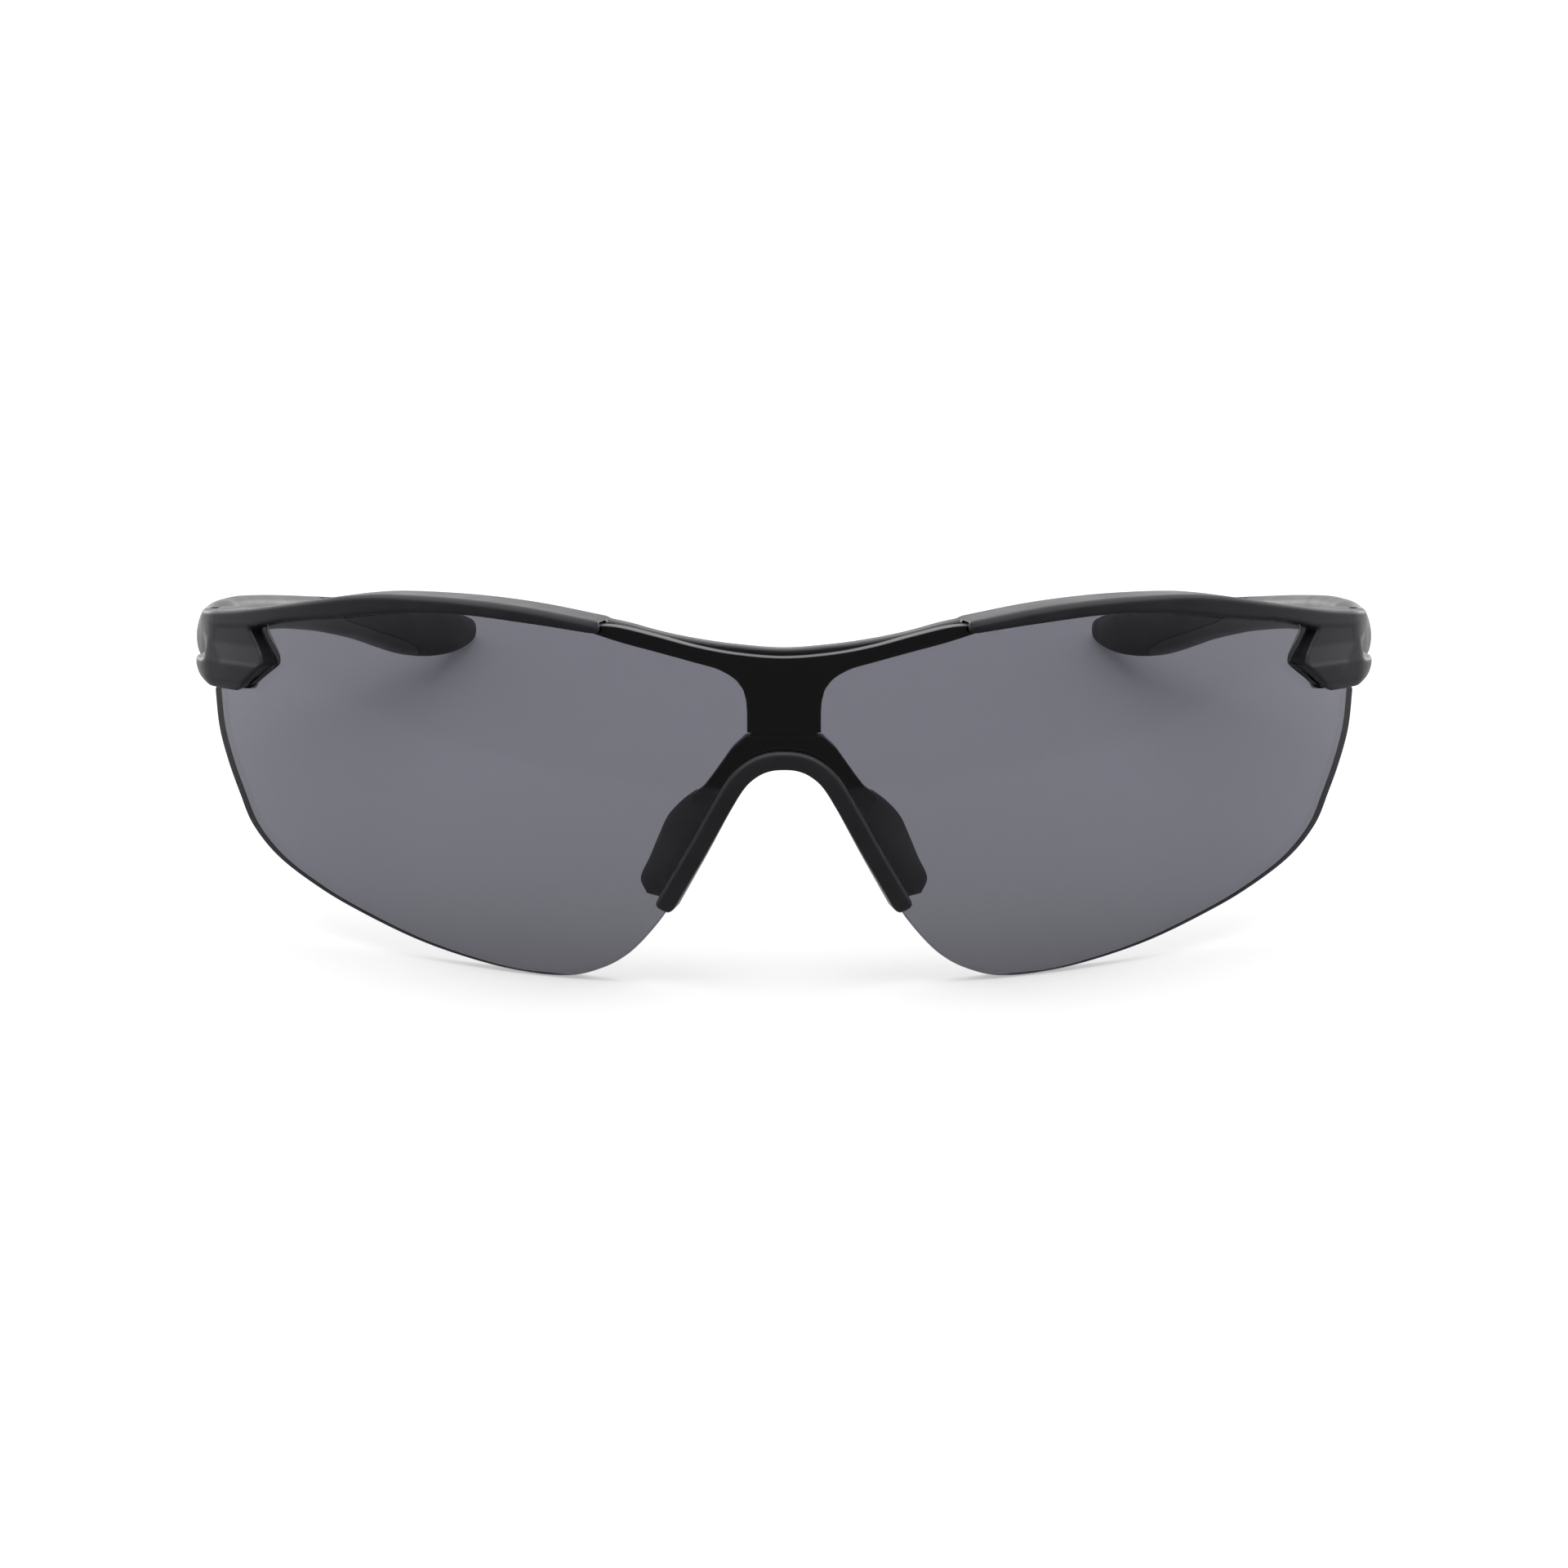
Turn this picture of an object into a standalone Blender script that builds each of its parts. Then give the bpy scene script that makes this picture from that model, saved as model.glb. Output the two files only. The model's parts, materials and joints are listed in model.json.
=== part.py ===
"""Wraparound sport sunglasses: half-rim front, one shield lens, clip-on nose bridge and two folding temples.

Run with: blender --background --python part.py

The glasses are drawn upright in the wearer's frame, in millimetres: X to the wearer's left, Y back towards
the ears, Z up, with the origin on the front of the lens in the middle. An empty then leans them back, so
that they stand on the lens's two lower lobes and the two temple tips, as they do on a table.
"""

import math

import bmesh
import bpy
from mathutils import Matrix, Vector

MM = 0.001

# The lens is a toric shell: it wraps round the face in plan and bulges a little from top to bottom.
WRAP_RADIUS = 88.0
SAG_RADIUS = 150.0
LENS_THICKNESS = 2.0
CLEARANCE = 0.3

# The front turns a corner past the lens and then runs straight back to the hinge.
CORNER_RADIUS = 8.0
SIDE_X = 69.0
CORNER_ANGLE = math.asin((SIDE_X - CORNER_RADIUS) / (WRAP_RADIUS - CORNER_RADIUS))
CORNER_START = WRAP_RADIUS * CORNER_ANGLE
CORNER_END = CORNER_START + CORNER_RADIUS * (math.pi / 2 - CORNER_ANGLE)
CORNER_END_Y = WRAP_RADIUS - (WRAP_RADIUS - CORNER_RADIUS) * math.cos(CORNER_ANGLE)
FRONT_END_Y = 38.0

# Front frame: depth is measured along the lens's normal, and 0 is the lens's front face.
BROW_FRONT = 1.25
BROW_BACK = -4.4
BRIDGE_BAR_FRONT = -2.9
BRIDGE_BAR_BACK = -5.4
FLANGE_START_X = 21.2
POST_HALF_WIDTH = 4.4
POST_BOTTOM = 5.5
TONGUE_HALF_WIDTH = 3.8
TONGUE_BOTTOM = 3.2
TONGUE_DEPTH = (-4.75, -3.55)

# Hinge: an upright screw through two lugs on the front and one knuckle on the temple.
HINGE_X = 66.2
HINGE_Y = 40.3
KNUCKLE_RADIUS = 2.0
TOP_LUG = (14.1, 15.75)
KNUCKLE = (11.7, 13.6)
BOTTOM_LUG = (9.45, 11.2)
WASHER_THICKNESS = 0.3
WASHER_RADIUS = 1.7
SCREW_RADIUS = 0.7
SCREW_HEAD_RADIUS = 1.2
SCREW_HEAD_HEIGHT = 0.6
SCREW_HOLE_RADIUS = 0.85
SLOT_LENGTH = 3.0
SLOT_WIDTH = 0.32
SLOT_DEPTH = 0.3
INSERT_RADIUS = 1.3
INSERT_TOP_GAP = 0.25

# Temples
ARM_FRONT_Y = FRONT_END_Y + CLEARANCE
SKIN_INNER_X = HINGE_X + KNUCKLE_RADIUS + CLEARANCE
# The seam between the nylon arm and the rubber tip, as (back, up): it drops from the temple's top edge, then
# runs back just above its lower edge, so that a thin lip of the arm carries on below the rubber.
SEAM = [(93.0, 12.3), (99.5, 7.7), (108.0, 5.3), (121.0, 1.95), (127.0, -0.25)]
SEAM_GAP = 0.32
SPIGOT_START_Y = 86.0
SPIGOT_END_Y = 118.0
SPIGOT_THICKNESS = 2.0
SPIGOT_HEIGHT = 1.8
WIRE_START_Y = 98.0
WIRE_END_Y = 146.0
WIRE_RADIUS = 0.45
WIRE_GAP = 0.15
CORE_RISE = 0.5

# Outlines, as (across, up) on the lens's front face. Each list is one side, from the middle outwards.
LENS_TOP = [(0, 14.45), (5.6, 14.85), (10.3, 15.65), (15, 16.8), (19.6, 17.75), (24.3, 17.95), (30, 18.9),
            (38, 19.4), (46, 19.2), (55, 17.9), (61.8, 16.1)]
LENS_NOTCH = [(62.5, 14.7), (60.5, 11.6), (60.35, 10.8), (63.6, 7.9), (67.6, 7.9)]
LENS_BOTTOM = [(0, 2.5), (1.3, 2.42), (2.6, 2.05), (3.8, 1.35), (4.85, 0.4), (5.75, -0.85), (6.6, -2.3),
               (7.45, -3.8), (9.75, -8.0), (12.0, -11.9), (14.4, -16.0), (18.5, -20.4), (22.6, -22.5),
               (26.5, -23.2), (32.3, -22.8), (38.3, -21.6), (43.9, -20.0), (49.8, -17.7), (54.8, -15.4),
               (60.0, -12.2), (63.2, -8.7), (64.8, -5.0), (66.2, -1.3), (67.3, 2.5), (67.9, 6.9)]
BAR_TOP = [(0, 15.1), (5.6, 15.45), (10.3, 16.0), (15, 16.8), (18.8, 17.68), (21.5, 18.15), (24.0, 18.5)]
BAR_BOTTOM = [(24.0, 16.8), (19.7, 15.6), (15, 14.5), (10.3, 13.35), (7.7, 12.65), (5.7, 11.5), (4.85, 10.4),
              (4.5, 9.1), (POST_HALF_WIDTH, 7.8), (POST_HALF_WIDTH, POST_BOTTOM)]
BROW_TOP = [(21.5, 18.42), (30, 19.74), (38, 20.35), (46, 20.35), (50.8, 19.88), (55.4, 18.95), (63.7, 17.1),
            (67.0, 16.5)]
BROW_BOTTOM = [(21.5, 16.9), (29, 17.8), (37.7, 18.5), (45.5, 18.15), (53.4, 16.95), (58.5, 16.2),
               (61.2, 15.5), (62.6, 15.05), (67.0, 14.5)]
HINGE_TOP_Z = 15.95
HINGE_LOW_Z = 9.2
BOSS_EDGE = [(63.1, 15.6), (62.8, 14.7), (60.8, 11.5), (60.7, 10.8), (63.7, 7.7), (64.6, 7.25), (66.6, 7.25)]
# How proud the endpiece is at each height: next to the notch, at its corner and on its outer side.
SCOOP = [(6.5, 0.2), (7.3, 0.75), (8.4, 1.4), (10.5, 1.7), (10.7, 1.55), (12.8, 1.15), (14.4, 1.15),
         (16.0, 1.2)]
PILLAR = [(6.5, 0.2), (7.3, 0.75), (8.4, 1.4), (10.5, 1.65), (12.0, 1.5), (14.0, 1.2), (16.0, 1.1)]
SIDE = [(6.5, -0.8), (7.3, -0.1), (7.9, 0.75), (8.6, 1.15), (9.5, 1.42), (10.3, 1.45), (10.9, 0.0),
        (12.0, 0.35), (13.8, 0.95), (16.0, 1.0)]
SCOOP_EDGE_S = 74.2
PILLAR_S = 77.3

# The nose clip follows the lens's nose cut-out, and its wings spread back and outwards.
CLIP_PATH = LENS_BOTTOM[:10] + [(13.35, -14.2)]
CLIP_INNER = -0.85
CLIP_OUTER = 1.35
CLIP_FRONT = 1.3
CLIP_BACK = -3.5
WEB_OUTER = [(4.6, 5.2), (6.2, 3.8), (8.1, 1.2), (9.7, -1.0)]
WEB_BACK = -5.8
WEB_FRONT = -2.6
# A thin lip on each side of the web covers the top of the pad.
LIP = [(6.9, 2.2), (8.3, 0.9), (9.4, -0.5), (11.0, -1.7), (11.1, -2.6), (8.9, -3.1), (7.2, -2.8)]
LIP_BACK = -3.9

# Nose pads, at stations down the clip: front edge (across, up), back edge (across, back, up) and thickness.
PAD_STATIONS = [((6.9, -2.0), (9.9, 7.6, -1.6), 1.3), ((7.7, -3.4), (11.4, 9.6, -3.2), 2.1),
                ((8.8, -5.3), (12.9, 11.3, -5.3), 2.7), ((10.1, -7.6), (13.9, 12.2, -7.8), 2.9),
                ((11.4, -10.0), (14.9, 12.2, -10.3), 2.9), ((12.5, -12.2), (16.1, 11.6, -12.6), 2.5),
                ((13.2, -13.6), (15.6, 9.6, -14.0), 1.4)]

# Temple stations: back, outer face across, thickness, top and bottom.
TEMPLE_STATIONS = [
    (42.6, 70.4, 4.7, 15.5, 9.1), (46.0, 71.1, 5.05, 15.7, 9.1), (50.0, 71.4, 5.15, 15.6, 9.15),
    (56.0, 71.0, 4.8, 15.2, 9.25), (65.0, 69.5, 4.3, 14.5, 9.6), (80.0, 66.2, 3.8, 12.85, 8.65),
    (95.0, 62.2, 3.5, 11.0, 6.65), (104.0, 59.5, 3.5, 9.85, 5.0), (112.0, 57.3, 3.8, 8.9, 3.35),
    (118.0, 55.5, 4.0, 8.05, 1.85), (126.0, 52.9, 4.1, 6.75, -0.1), (134.0, 50.4, 4.1, 5.5, -1.35),
    (142.0, 48.2, 4.0, 3.9, -1.9), (150.0, 46.6, 3.6, 2.3, -1.95), (155.5, 45.7, 2.9, 1.2, -1.7),
    (158.0, 45.1, 1.6, 0.3, -0.8)]

# The temple's section, as parts of its (thickness inwards, height up). Its outer shoulder is full along most
# of the temple and slopes away near the hinge.
SECTION = [(0.2, 0.0), (0.06, 0.13), (0.0, 0.42), (0.03, 0.66), (0.12, 0.86), (0.34, 1.0), (0.64, 1.0),
           (0.9, 0.86), (1.0, 0.62), (1.0, 0.3), (0.9, 0.1), (0.66, 0.0)]
HINGE_SECTION = [(0.2, 0.0), (0.05, 0.1), (0.0, 0.36), (0.05, 0.62), (0.16, 0.82), (0.4, 0.96), (0.7, 1.0),
                 (0.92, 0.9), (1.0, 0.62), (1.0, 0.3), (0.9, 0.1), (0.66, 0.0)]
HINGE_SECTION_Y = (56.0, 80.0)
SKIN_LAYERS = [(9.2, 0.8), (10.0, 1.0), (12.0, 1.0), (13.3, 0.84), (14.4, 0.6), (15.35, 0.2)]

LOBE = (26.5, -23.2)
REST_FLAT = 0.12


# ---------------------------------------------------------------- curves and frames

def curve(points, step):
    """Points about step apart on a smooth (Catmull-Rom) curve through the given points."""
    pts = [Vector(p) for p in points]
    pts = [2 * pts[0] - pts[1]] + pts + [2 * pts[-1] - pts[-2]]
    found = []
    for a, b, c, d in zip(pts, pts[1:], pts[2:], pts[3:]):
        count = max(1, round((c - b).length / step))
        for k in range(count):
            t = k / count
            found.append(0.5 * (2 * b + (c - a) * t + (2 * a - 5 * b + 4 * c - d) * t ** 2
                                + (3 * b - a - 3 * c + d) * t ** 3))
    return found + [pts[-2]]


def both_sides(points):
    """One side's points, from the middle outwards, with their mirror image before them."""
    return [(-x, z) for x, z in reversed(points) if x > 0] + list(points)


def along(points, at):
    """Reads a smooth curve of (position, value, ...) rows at one position, as the values."""
    rows = curve(points, 0.5)
    for a, b in zip(rows, rows[1:]):
        if at <= b[0]:
            break
    t = min(1.0, max(0.0, (at - a[0]) / (b[0] - a[0])))
    values = a.lerp(b, t)
    return values[1] if len(values) == 2 else values[1:]


def arc_length(x):
    """Distance round the front from the middle to a point this far across."""
    return math.copysign(WRAP_RADIUS * math.asin(min(1.0, abs(x) / WRAP_RADIUS)), x)


def on_lens(s, z, n):
    """The point s round the lens and z up, n proud of its front face."""
    radius = WRAP_RADIUS + n - z * z / (2 * SAG_RADIUS)
    angle = s / WRAP_RADIUS
    return Vector((radius * math.sin(angle), WRAP_RADIUS - radius * math.cos(angle), z))


def on_front(s, z, n):
    """As on_lens, but past the lens it turns the corner and runs straight back."""
    side = math.copysign(1, s)
    s = abs(s)
    bulge = n - z * z / (2 * SAG_RADIUS) * max(0.0, 1 - max(0.0, s - CORNER_START) / CORNER_RADIUS)
    if s <= CORNER_START:
        return on_lens(side * s, z, n)
    if s <= CORNER_END:
        angle = CORNER_ANGLE + (s - CORNER_START) / CORNER_RADIUS
        radius = CORNER_RADIUS + bulge
        x = SIDE_X - CORNER_RADIUS + radius * math.sin(angle)
        y = CORNER_END_Y - radius * math.cos(angle)
    else:
        x = SIDE_X + bulge
        y = CORNER_END_Y + s - CORNER_END
    return Vector((side * x, y, z))


# ---------------------------------------------------------------- solids

def finish_mesh(name, bm):
    """Turns the bmesh, in millimetres, into an object in metres, with its faces pointing out."""
    bmesh.ops.remove_doubles(bm, verts=bm.verts, dist=1e-4)
    bmesh.ops.triangulate(bm, faces=bm.faces)
    bmesh.ops.recalc_face_normals(bm, faces=bm.faces)
    bmesh.ops.scale(bm, vec=(MM, MM, MM), verts=bm.verts)
    mesh = bpy.data.meshes.new(name)
    bm.to_mesh(mesh)
    bm.free()
    obj = bpy.data.objects.new(name, mesh)
    bpy.context.scene.collection.objects.link(obj)
    return obj


def loft(name, rings):
    """A closed solid through rings of points, each ring with the same number of points."""
    bm = bmesh.new()
    loops = [[bm.verts.new(p) for p in ring] for ring in rings]
    for a, b in zip(loops, loops[1:]):
        for k in range(len(a)):
            j = (k + 1) % len(a)
            bm.faces.new((a[k], a[j], b[j], b[k]))
    bm.faces.new(loops[0])
    bm.faces.new(loops[-1])
    return finish_mesh(name, bm)


def plate(name, outline, back, front, bend, step, rows=()):
    """A flat outline of (along, up), thickened from back to front, sliced at each step and row, then bent.

    back and front are numbers, or functions of (along, up).
    """
    bm = bmesh.new()
    face = bm.faces.new([bm.verts.new((p[0], 0, p[1])) for p in outline])
    for vert in bmesh.ops.extrude_face_region(bm, geom=[face])["geom"]:
        if isinstance(vert, bmesh.types.BMVert):
            vert.co.y = 1
    low = min(p[0] for p in outline)
    high = max(p[0] for p in outline)
    count = max(1, round((high - low) / step))
    cuts = [((low + (high - low) * k / count, 0, 0), (1, 0, 0)) for k in range(1, count)]
    cuts += [((0, 0, z), (0, 0, 1)) for z in rows]
    for point, normal in cuts:
        geom = bm.verts[:] + bm.edges[:] + bm.faces[:]
        bmesh.ops.bisect_plane(bm, geom=geom, dist=0.02, plane_co=point, plane_no=normal)
    for vert in bm.verts:
        s, on_front_face, z = vert.co
        depth = front if on_front_face > 0.5 else back
        vert.co = bend(s, z, depth(s, z) if callable(depth) else depth)
    return finish_mesh(name, bm)


def prism(name, outline, low, high):
    """An outline of (x, y) extruded upright."""
    return loft(name, [[Vector((x, y, z)) for x, y in outline] for z in (low, high)])


def circle(x, y, radius, count=24, start=0.0, end=2 * math.pi):
    """Points on a circle or, with start and end, on an arc that includes both ends."""
    full = abs(end - start - 2 * math.pi) < 1e-6
    steps = count if full else count - 1
    return [(x + radius * math.cos(start + (end - start) * k / steps),
             y + radius * math.sin(start + (end - start) * k / steps)) for k in range(count)]


def combine(obj, operation, *others):
    """Adds, or cuts, the other objects, which stop being pieces of their own."""
    for other in others:
        modifier = obj.modifiers.new(f"{operation.lower()} {other.name}", "BOOLEAN")
        modifier.operation = operation
        modifier.object = other
        modifier.solver = "EXACT"
        other.hide_render = True
        other.display_type = "WIRE"
    return obj


# ---------------------------------------------------------------- lens

def lens_outline(step, grow=0.0):
    """The closed outline of the shield, as (arc length, up), grown by a margin."""
    top = curve(both_sides(LENS_TOP), step)
    bottom = curve(both_sides(LENS_BOTTOM), step)
    notch = [Vector(p) for p in LENS_NOTCH]
    mirrored = [Vector((-p.x, p.y)) for p in reversed(notch)]
    loop = [Vector((arc_length(p.x), p.y)) for p in top + notch + bottom[::-1] + mirrored]
    if not grow:
        return loop
    grown = []
    for a, b, c in zip(loop[-1:] + loop, loop, loop[1:] + loop[:1]):
        before = (b - a).normalized()
        after = (c - b).normalized()
        out = Vector((-before.y - after.y, before.x + after.x)).normalized()
        stretch = 1 / max(0.5, out.dot(Vector((-after.y, after.x))))
        grown.append(b + out * grow * stretch)
    return grown


def make_lens():
    rows = [-20, -16, -11, -5.5, 0, 5.5, 11, 16]
    return plate("lens_shield", lens_outline(2.5), -LENS_THICKNESS, 0.0, on_lens, 4.0, rows)


def make_lens_clearance():
    """What the lens needs left free: the cutter of the groove it sits in."""
    rows = [-16, -8, 0, 8, 16]
    return plate("lens_clearance", lens_outline(2.5, CLEARANCE), -LENS_THICKNESS - CLEARANCE, CLEARANCE,
                 on_lens, 4.0, rows)


# ---------------------------------------------------------------- front frame

def brow_profile(s):
    """Top, bottom, front, back and the front's top chamfer (across, down) at a station of one brow arm."""
    x = min(67.0, WRAP_RADIUS * math.sin(min(s, CORNER_START) / WRAP_RADIUS))
    top = along(BROW_TOP, x)
    bottom = along(BROW_BOTTOM, x)
    past = max(0.0, s - arc_length(67.0))
    top += (HINGE_TOP_Z - BROW_TOP[-1][1]) * min(1.0, past / 6)
    inward = min(1.0, max(0.0, (s - 22) / 45))
    front = BROW_FRONT - 0.4 * min(1.0, past / 6)
    back = BROW_BACK - 0.8 * (1 - inward)
    return top, bottom, front, back, 0.35, 0.75 - 0.45 * inward


def make_brow_arm(side):
    """From the end of the exposed lens edge out to the hinge, over the lens's top edge."""
    start = arc_length(FLANGE_START_X)
    end = CORNER_END + FRONT_END_Y - CORNER_END_Y + 1
    stations = [start + 0.5] + [start + (CORNER_START - start) * k / 22 for k in range(1, 23)]
    stations += [CORNER_START + (CORNER_END - CORNER_START) * k / 5 for k in range(1, 6)] + [end]
    rings = []
    for s in [start] + stations:
        top, bottom, front, back, across, down = brow_profile(s)
        if s == start:
            front, across, down = front - 0.5, across * 0.6, down * 0.8
        section = [(back, bottom + 0.4), (back, top - 0.5), (back + 0.5, top), (front - across, top),
                   (front, top - down), (front, bottom + 0.35), (front - 0.35, bottom), (back + 0.4, bottom)]
        rings.append([on_front(side * s, z, n) for n, z in section])
    return loft(f"brow_arm_{'left' if side > 0 else 'right'}", rings)


def read_table(table, z):
    """Reads (up, proud) rows with straight lines between them."""
    for (z0, n0), (z1, n1) in zip(table, table[1:]):
        if z <= z1:
            return n0 + (n1 - n0) * max(0.0, z - z0) / (z1 - z0)
    return table[-1][1]


def endpiece_front(s, z):
    """How proud the endpiece's face is: a scoop next to the notch, an upright pillar and a waisted side."""
    s = abs(s)
    past_scoop = min(1.0, max(0.0, (s - SCOOP_EDGE_S - 1.25 * (z - 10.5)) / 0.7))
    past_pillar = min(1.0, max(0.0, (s - PILLAR_S) / 3.0))
    face = read_table(SCOOP, z) * (1 - past_scoop) + read_table(PILLAR, z) * past_scoop
    return face * (1 - past_pillar) + read_table(SIDE, z) * past_pillar


def endpiece_back(s, z):
    """How deep the endpiece goes: it thins towards the lens's notch, which shows nothing behind it."""
    inner = min(max(z, 7.7), 14.7)
    for (x0, z0), (x1, z1) in zip(BOSS_EDGE[1:], BOSS_EDGE[2:5]):
        if z1 <= inner <= z0:
            edge = arc_length(x0 + (x1 - x0) * (inner - z0) / (z1 - z0))
    return max(BROW_BACK + 0.3, -2.3 - 0.93 * max(0.0, abs(s) - edge))


def make_endpiece(side):
    """The block that carries the hinge, with the boss that fills the lens's notch."""
    end = CORNER_END + FRONT_END_Y - CORNER_END_Y + 1
    low = curve([(arc_length(66.6), 7.25), (79.0, 7.45), (82.0, 8.3), (end, HINGE_LOW_Z)], 1.5)
    outline = [(arc_length(x), z) for x, z in BOSS_EDGE] + [(p.x, p.y) for p in low[1:]] + [(end, 15.3)]
    outline = [(side * s, z) for s, z in outline]
    rows = (8.4, 9.4, 10.5, 10.8, 11.7, 12.6, 13.6, 14.6)
    label = "left" if side > 0 else "right"
    return plate(f"endpiece_{label}", outline, endpiece_back, endpiece_front, on_front, 1.3, rows)


def make_bridge_bar():
    """The bar behind the lens between the two brow arms, with the post that drops to the nose clip."""
    right = curve(BAR_BOTTOM[:-1], 1.5) + [Vector(BAR_BOTTOM[-1])]
    low = right + [Vector((-p.x, p.y)) for p in reversed(right)]
    top = curve(both_sides(BAR_TOP), 2.5)
    outline = [(arc_length(p.x), p.y) for p in top + low]
    bar = plate("bridge_bar", outline, BRIDGE_BAR_BACK, BRIDGE_BAR_FRONT, on_lens, 3.0, (14.0,))
    half = TONGUE_HALF_WIDTH
    root = POST_BOTTOM + 1
    tongue = [(-half, TONGUE_BOTTOM), (half, TONGUE_BOTTOM), (half, root), (-half, root)]
    return bar, plate("post_tongue", tongue, *TONGUE_DEPTH, on_lens, 2.0)


def hinge_lug(name, side, low, high, to_front):
    """A lug round the hinge axis: a half circle with a web to the front, or to the temple behind."""
    reach = FRONT_END_Y - 1.6 if to_front else HINGE_Y + 3.6
    sweep = (0.0, math.pi) if to_front else (math.pi, 2 * math.pi)
    outline = circle(HINGE_X, HINGE_Y, KNUCKLE_RADIUS, 16, *sweep)
    far = outline[-1][0]
    outline += [(far, reach), (outline[0][0], reach)]
    return prism(name, [(side * x, y) for x, y in outline], low, high)


def axis_pin(name, side, radius, low, high, count=24):
    return prism(name, [(side * x, y) for x, y in circle(HINGE_X, HINGE_Y, radius, count)], low, high)


def box(name, low, high):
    outline = [(low[0], low[1]), (high[0], low[1]), (high[0], high[1]), (low[0], high[1])]
    return prism(name, outline, low[2], high[2])


def make_front_frame(clearance):
    frame, tongue = make_bridge_bar()
    frame.name = "front_frame"
    combine(frame, "UNION", tongue)
    for side, label in ((1, "left"), (-1, "right")):
        combine(frame, "UNION", make_brow_arm(side), make_endpiece(side))
        edges = sorted((side * 55.0, side * 80.0))
        trim = box(f"end_trim_{label}", (edges[0], FRONT_END_Y, 0), (edges[1], 50, 25))
        combine(frame, "DIFFERENCE", trim)
    combine(frame, "DIFFERENCE", clearance)
    for side, label in ((1, "left"), (-1, "right")):
        for place, (low, high) in (("top", TOP_LUG), ("bottom", BOTTOM_LUG)):
            combine(frame, "UNION", hinge_lug(f"{place}_lug_{label}", side, low, high, True))
        hole = axis_pin(f"screw_hole_{label}", side, SCREW_HOLE_RADIUS, 8, TOP_LUG[1] - 0.45)
        seat = axis_pin(f"screw_seat_{label}", side, SCREW_HEAD_RADIUS + 0.2, 8,
                        BOTTOM_LUG[0] + SCREW_HEAD_HEIGHT + 0.1)
        pocket = axis_pin(f"insert_pocket_{label}", side, INSERT_RADIUS + 0.1, TOP_LUG[0] - 0.5,
                          TOP_LUG[1] - INSERT_TOP_GAP - 0.1)
        combine(frame, "DIFFERENCE", hole, seat, pocket)
    return frame


# ---------------------------------------------------------------- nose bridge and pads

def clip_rings(path, section):
    """Rings of a section of (into the lens, proud) carried along a path drawn on the lens."""
    rings = []
    for k, p in enumerate(path):
        a = path[max(0, k - 1)]
        b = path[min(len(path) - 1, k + 1)]
        tangent = (b - a).normalized()
        into = Vector((tangent.y, -tangent.x))
        ring = []
        for w, n in section:
            q = p + into * w
            ring.append(on_lens(arc_length(q.x), q.y, n))
        rings.append(ring)
    return rings


def make_nose_bridge(clearance):
    """A channel that grips the nose cut-out's edge, a web behind the lens and a wing into each pad."""
    path = curve(both_sides(CLIP_PATH), 1.6)
    path = path[::-1]
    section = [(CLIP_INNER, CLIP_BACK + 0.4), (CLIP_INNER, 0.55), (CLIP_INNER + 0.55, 1.1),
               (0.35, CLIP_FRONT), (1.0, CLIP_FRONT - 0.15), (CLIP_OUTER, 0.75),
               (CLIP_OUTER, CLIP_BACK + 0.5), (1.0, CLIP_BACK), (CLIP_INNER + 0.4, CLIP_BACK)]
    rings = clip_rings(path, section)
    tips = []
    for ring in (rings[0], rings[-1]):
        middle = sum(ring, Vector()) / len(ring)
        down = Vector((math.copysign(0.55, middle.x), 0.05, -0.8))
        tips.append([middle + (p - middle) * 0.55 + down for p in ring])
    bridge = loft("nose_bridge", [tips[0]] + rings + [tips[1]])
    right = [Vector(p) for p in WEB_OUTER]
    inner = [p for p in curve(CLIP_PATH, 1.6) if p.y > -1.4]
    outer = [Vector((-p.x, p.y)) for p in reversed(right)] + right
    loop = inner[::-1] + [Vector((-p.x, p.y)) for p in inner[1:]]
    outline = [(arc_length(p.x), p.y) for p in outer + loop]
    web = plate("bridge_web", outline, WEB_BACK, WEB_FRONT, on_lens, 1.6, (0.0,))
    combine(bridge, "UNION", web)
    for side, label in ((1, "left"), (-1, "right")):
        lip = [(side * arc_length(x), z) for x, z in LIP]
        combine(bridge, "UNION", plate(f"lip_{label}", lip, LIP_BACK, WEB_FRONT - 0.05, on_lens, 1.6))
        combine(bridge, "UNION", loft(f"wing_{label}", pad_rings(side, WING)))
    combine(bridge, "DIFFERENCE", clearance)
    half = TONGUE_HALF_WIDTH + CLEARANCE
    low = TONGUE_BOTTOM - CLEARANCE
    slot = [(-half, low), (half, low), (half, 8), (-half, 8)]
    back, front = TONGUE_DEPTH
    pocket = plate("tongue_slot", slot, back - CLEARANCE, front + CLEARANCE, on_lens, 2.0)
    return combine(bridge, "DIFFERENCE", pocket)


PAD = {"front": 0.0, "back": 1.0, "thick": 1.0, "grow": 0.0, "stations": range(7)}
WING = {"front": -0.18, "back": 0.66, "thick": 0.0, "grow": 0.35, "stations": range(2, 6)}
WING_POCKET = {"front": -0.4, "back": 0.74, "thick": 0.0, "grow": 0.35 + CLEARANCE, "stations": range(2, 6)}


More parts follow.
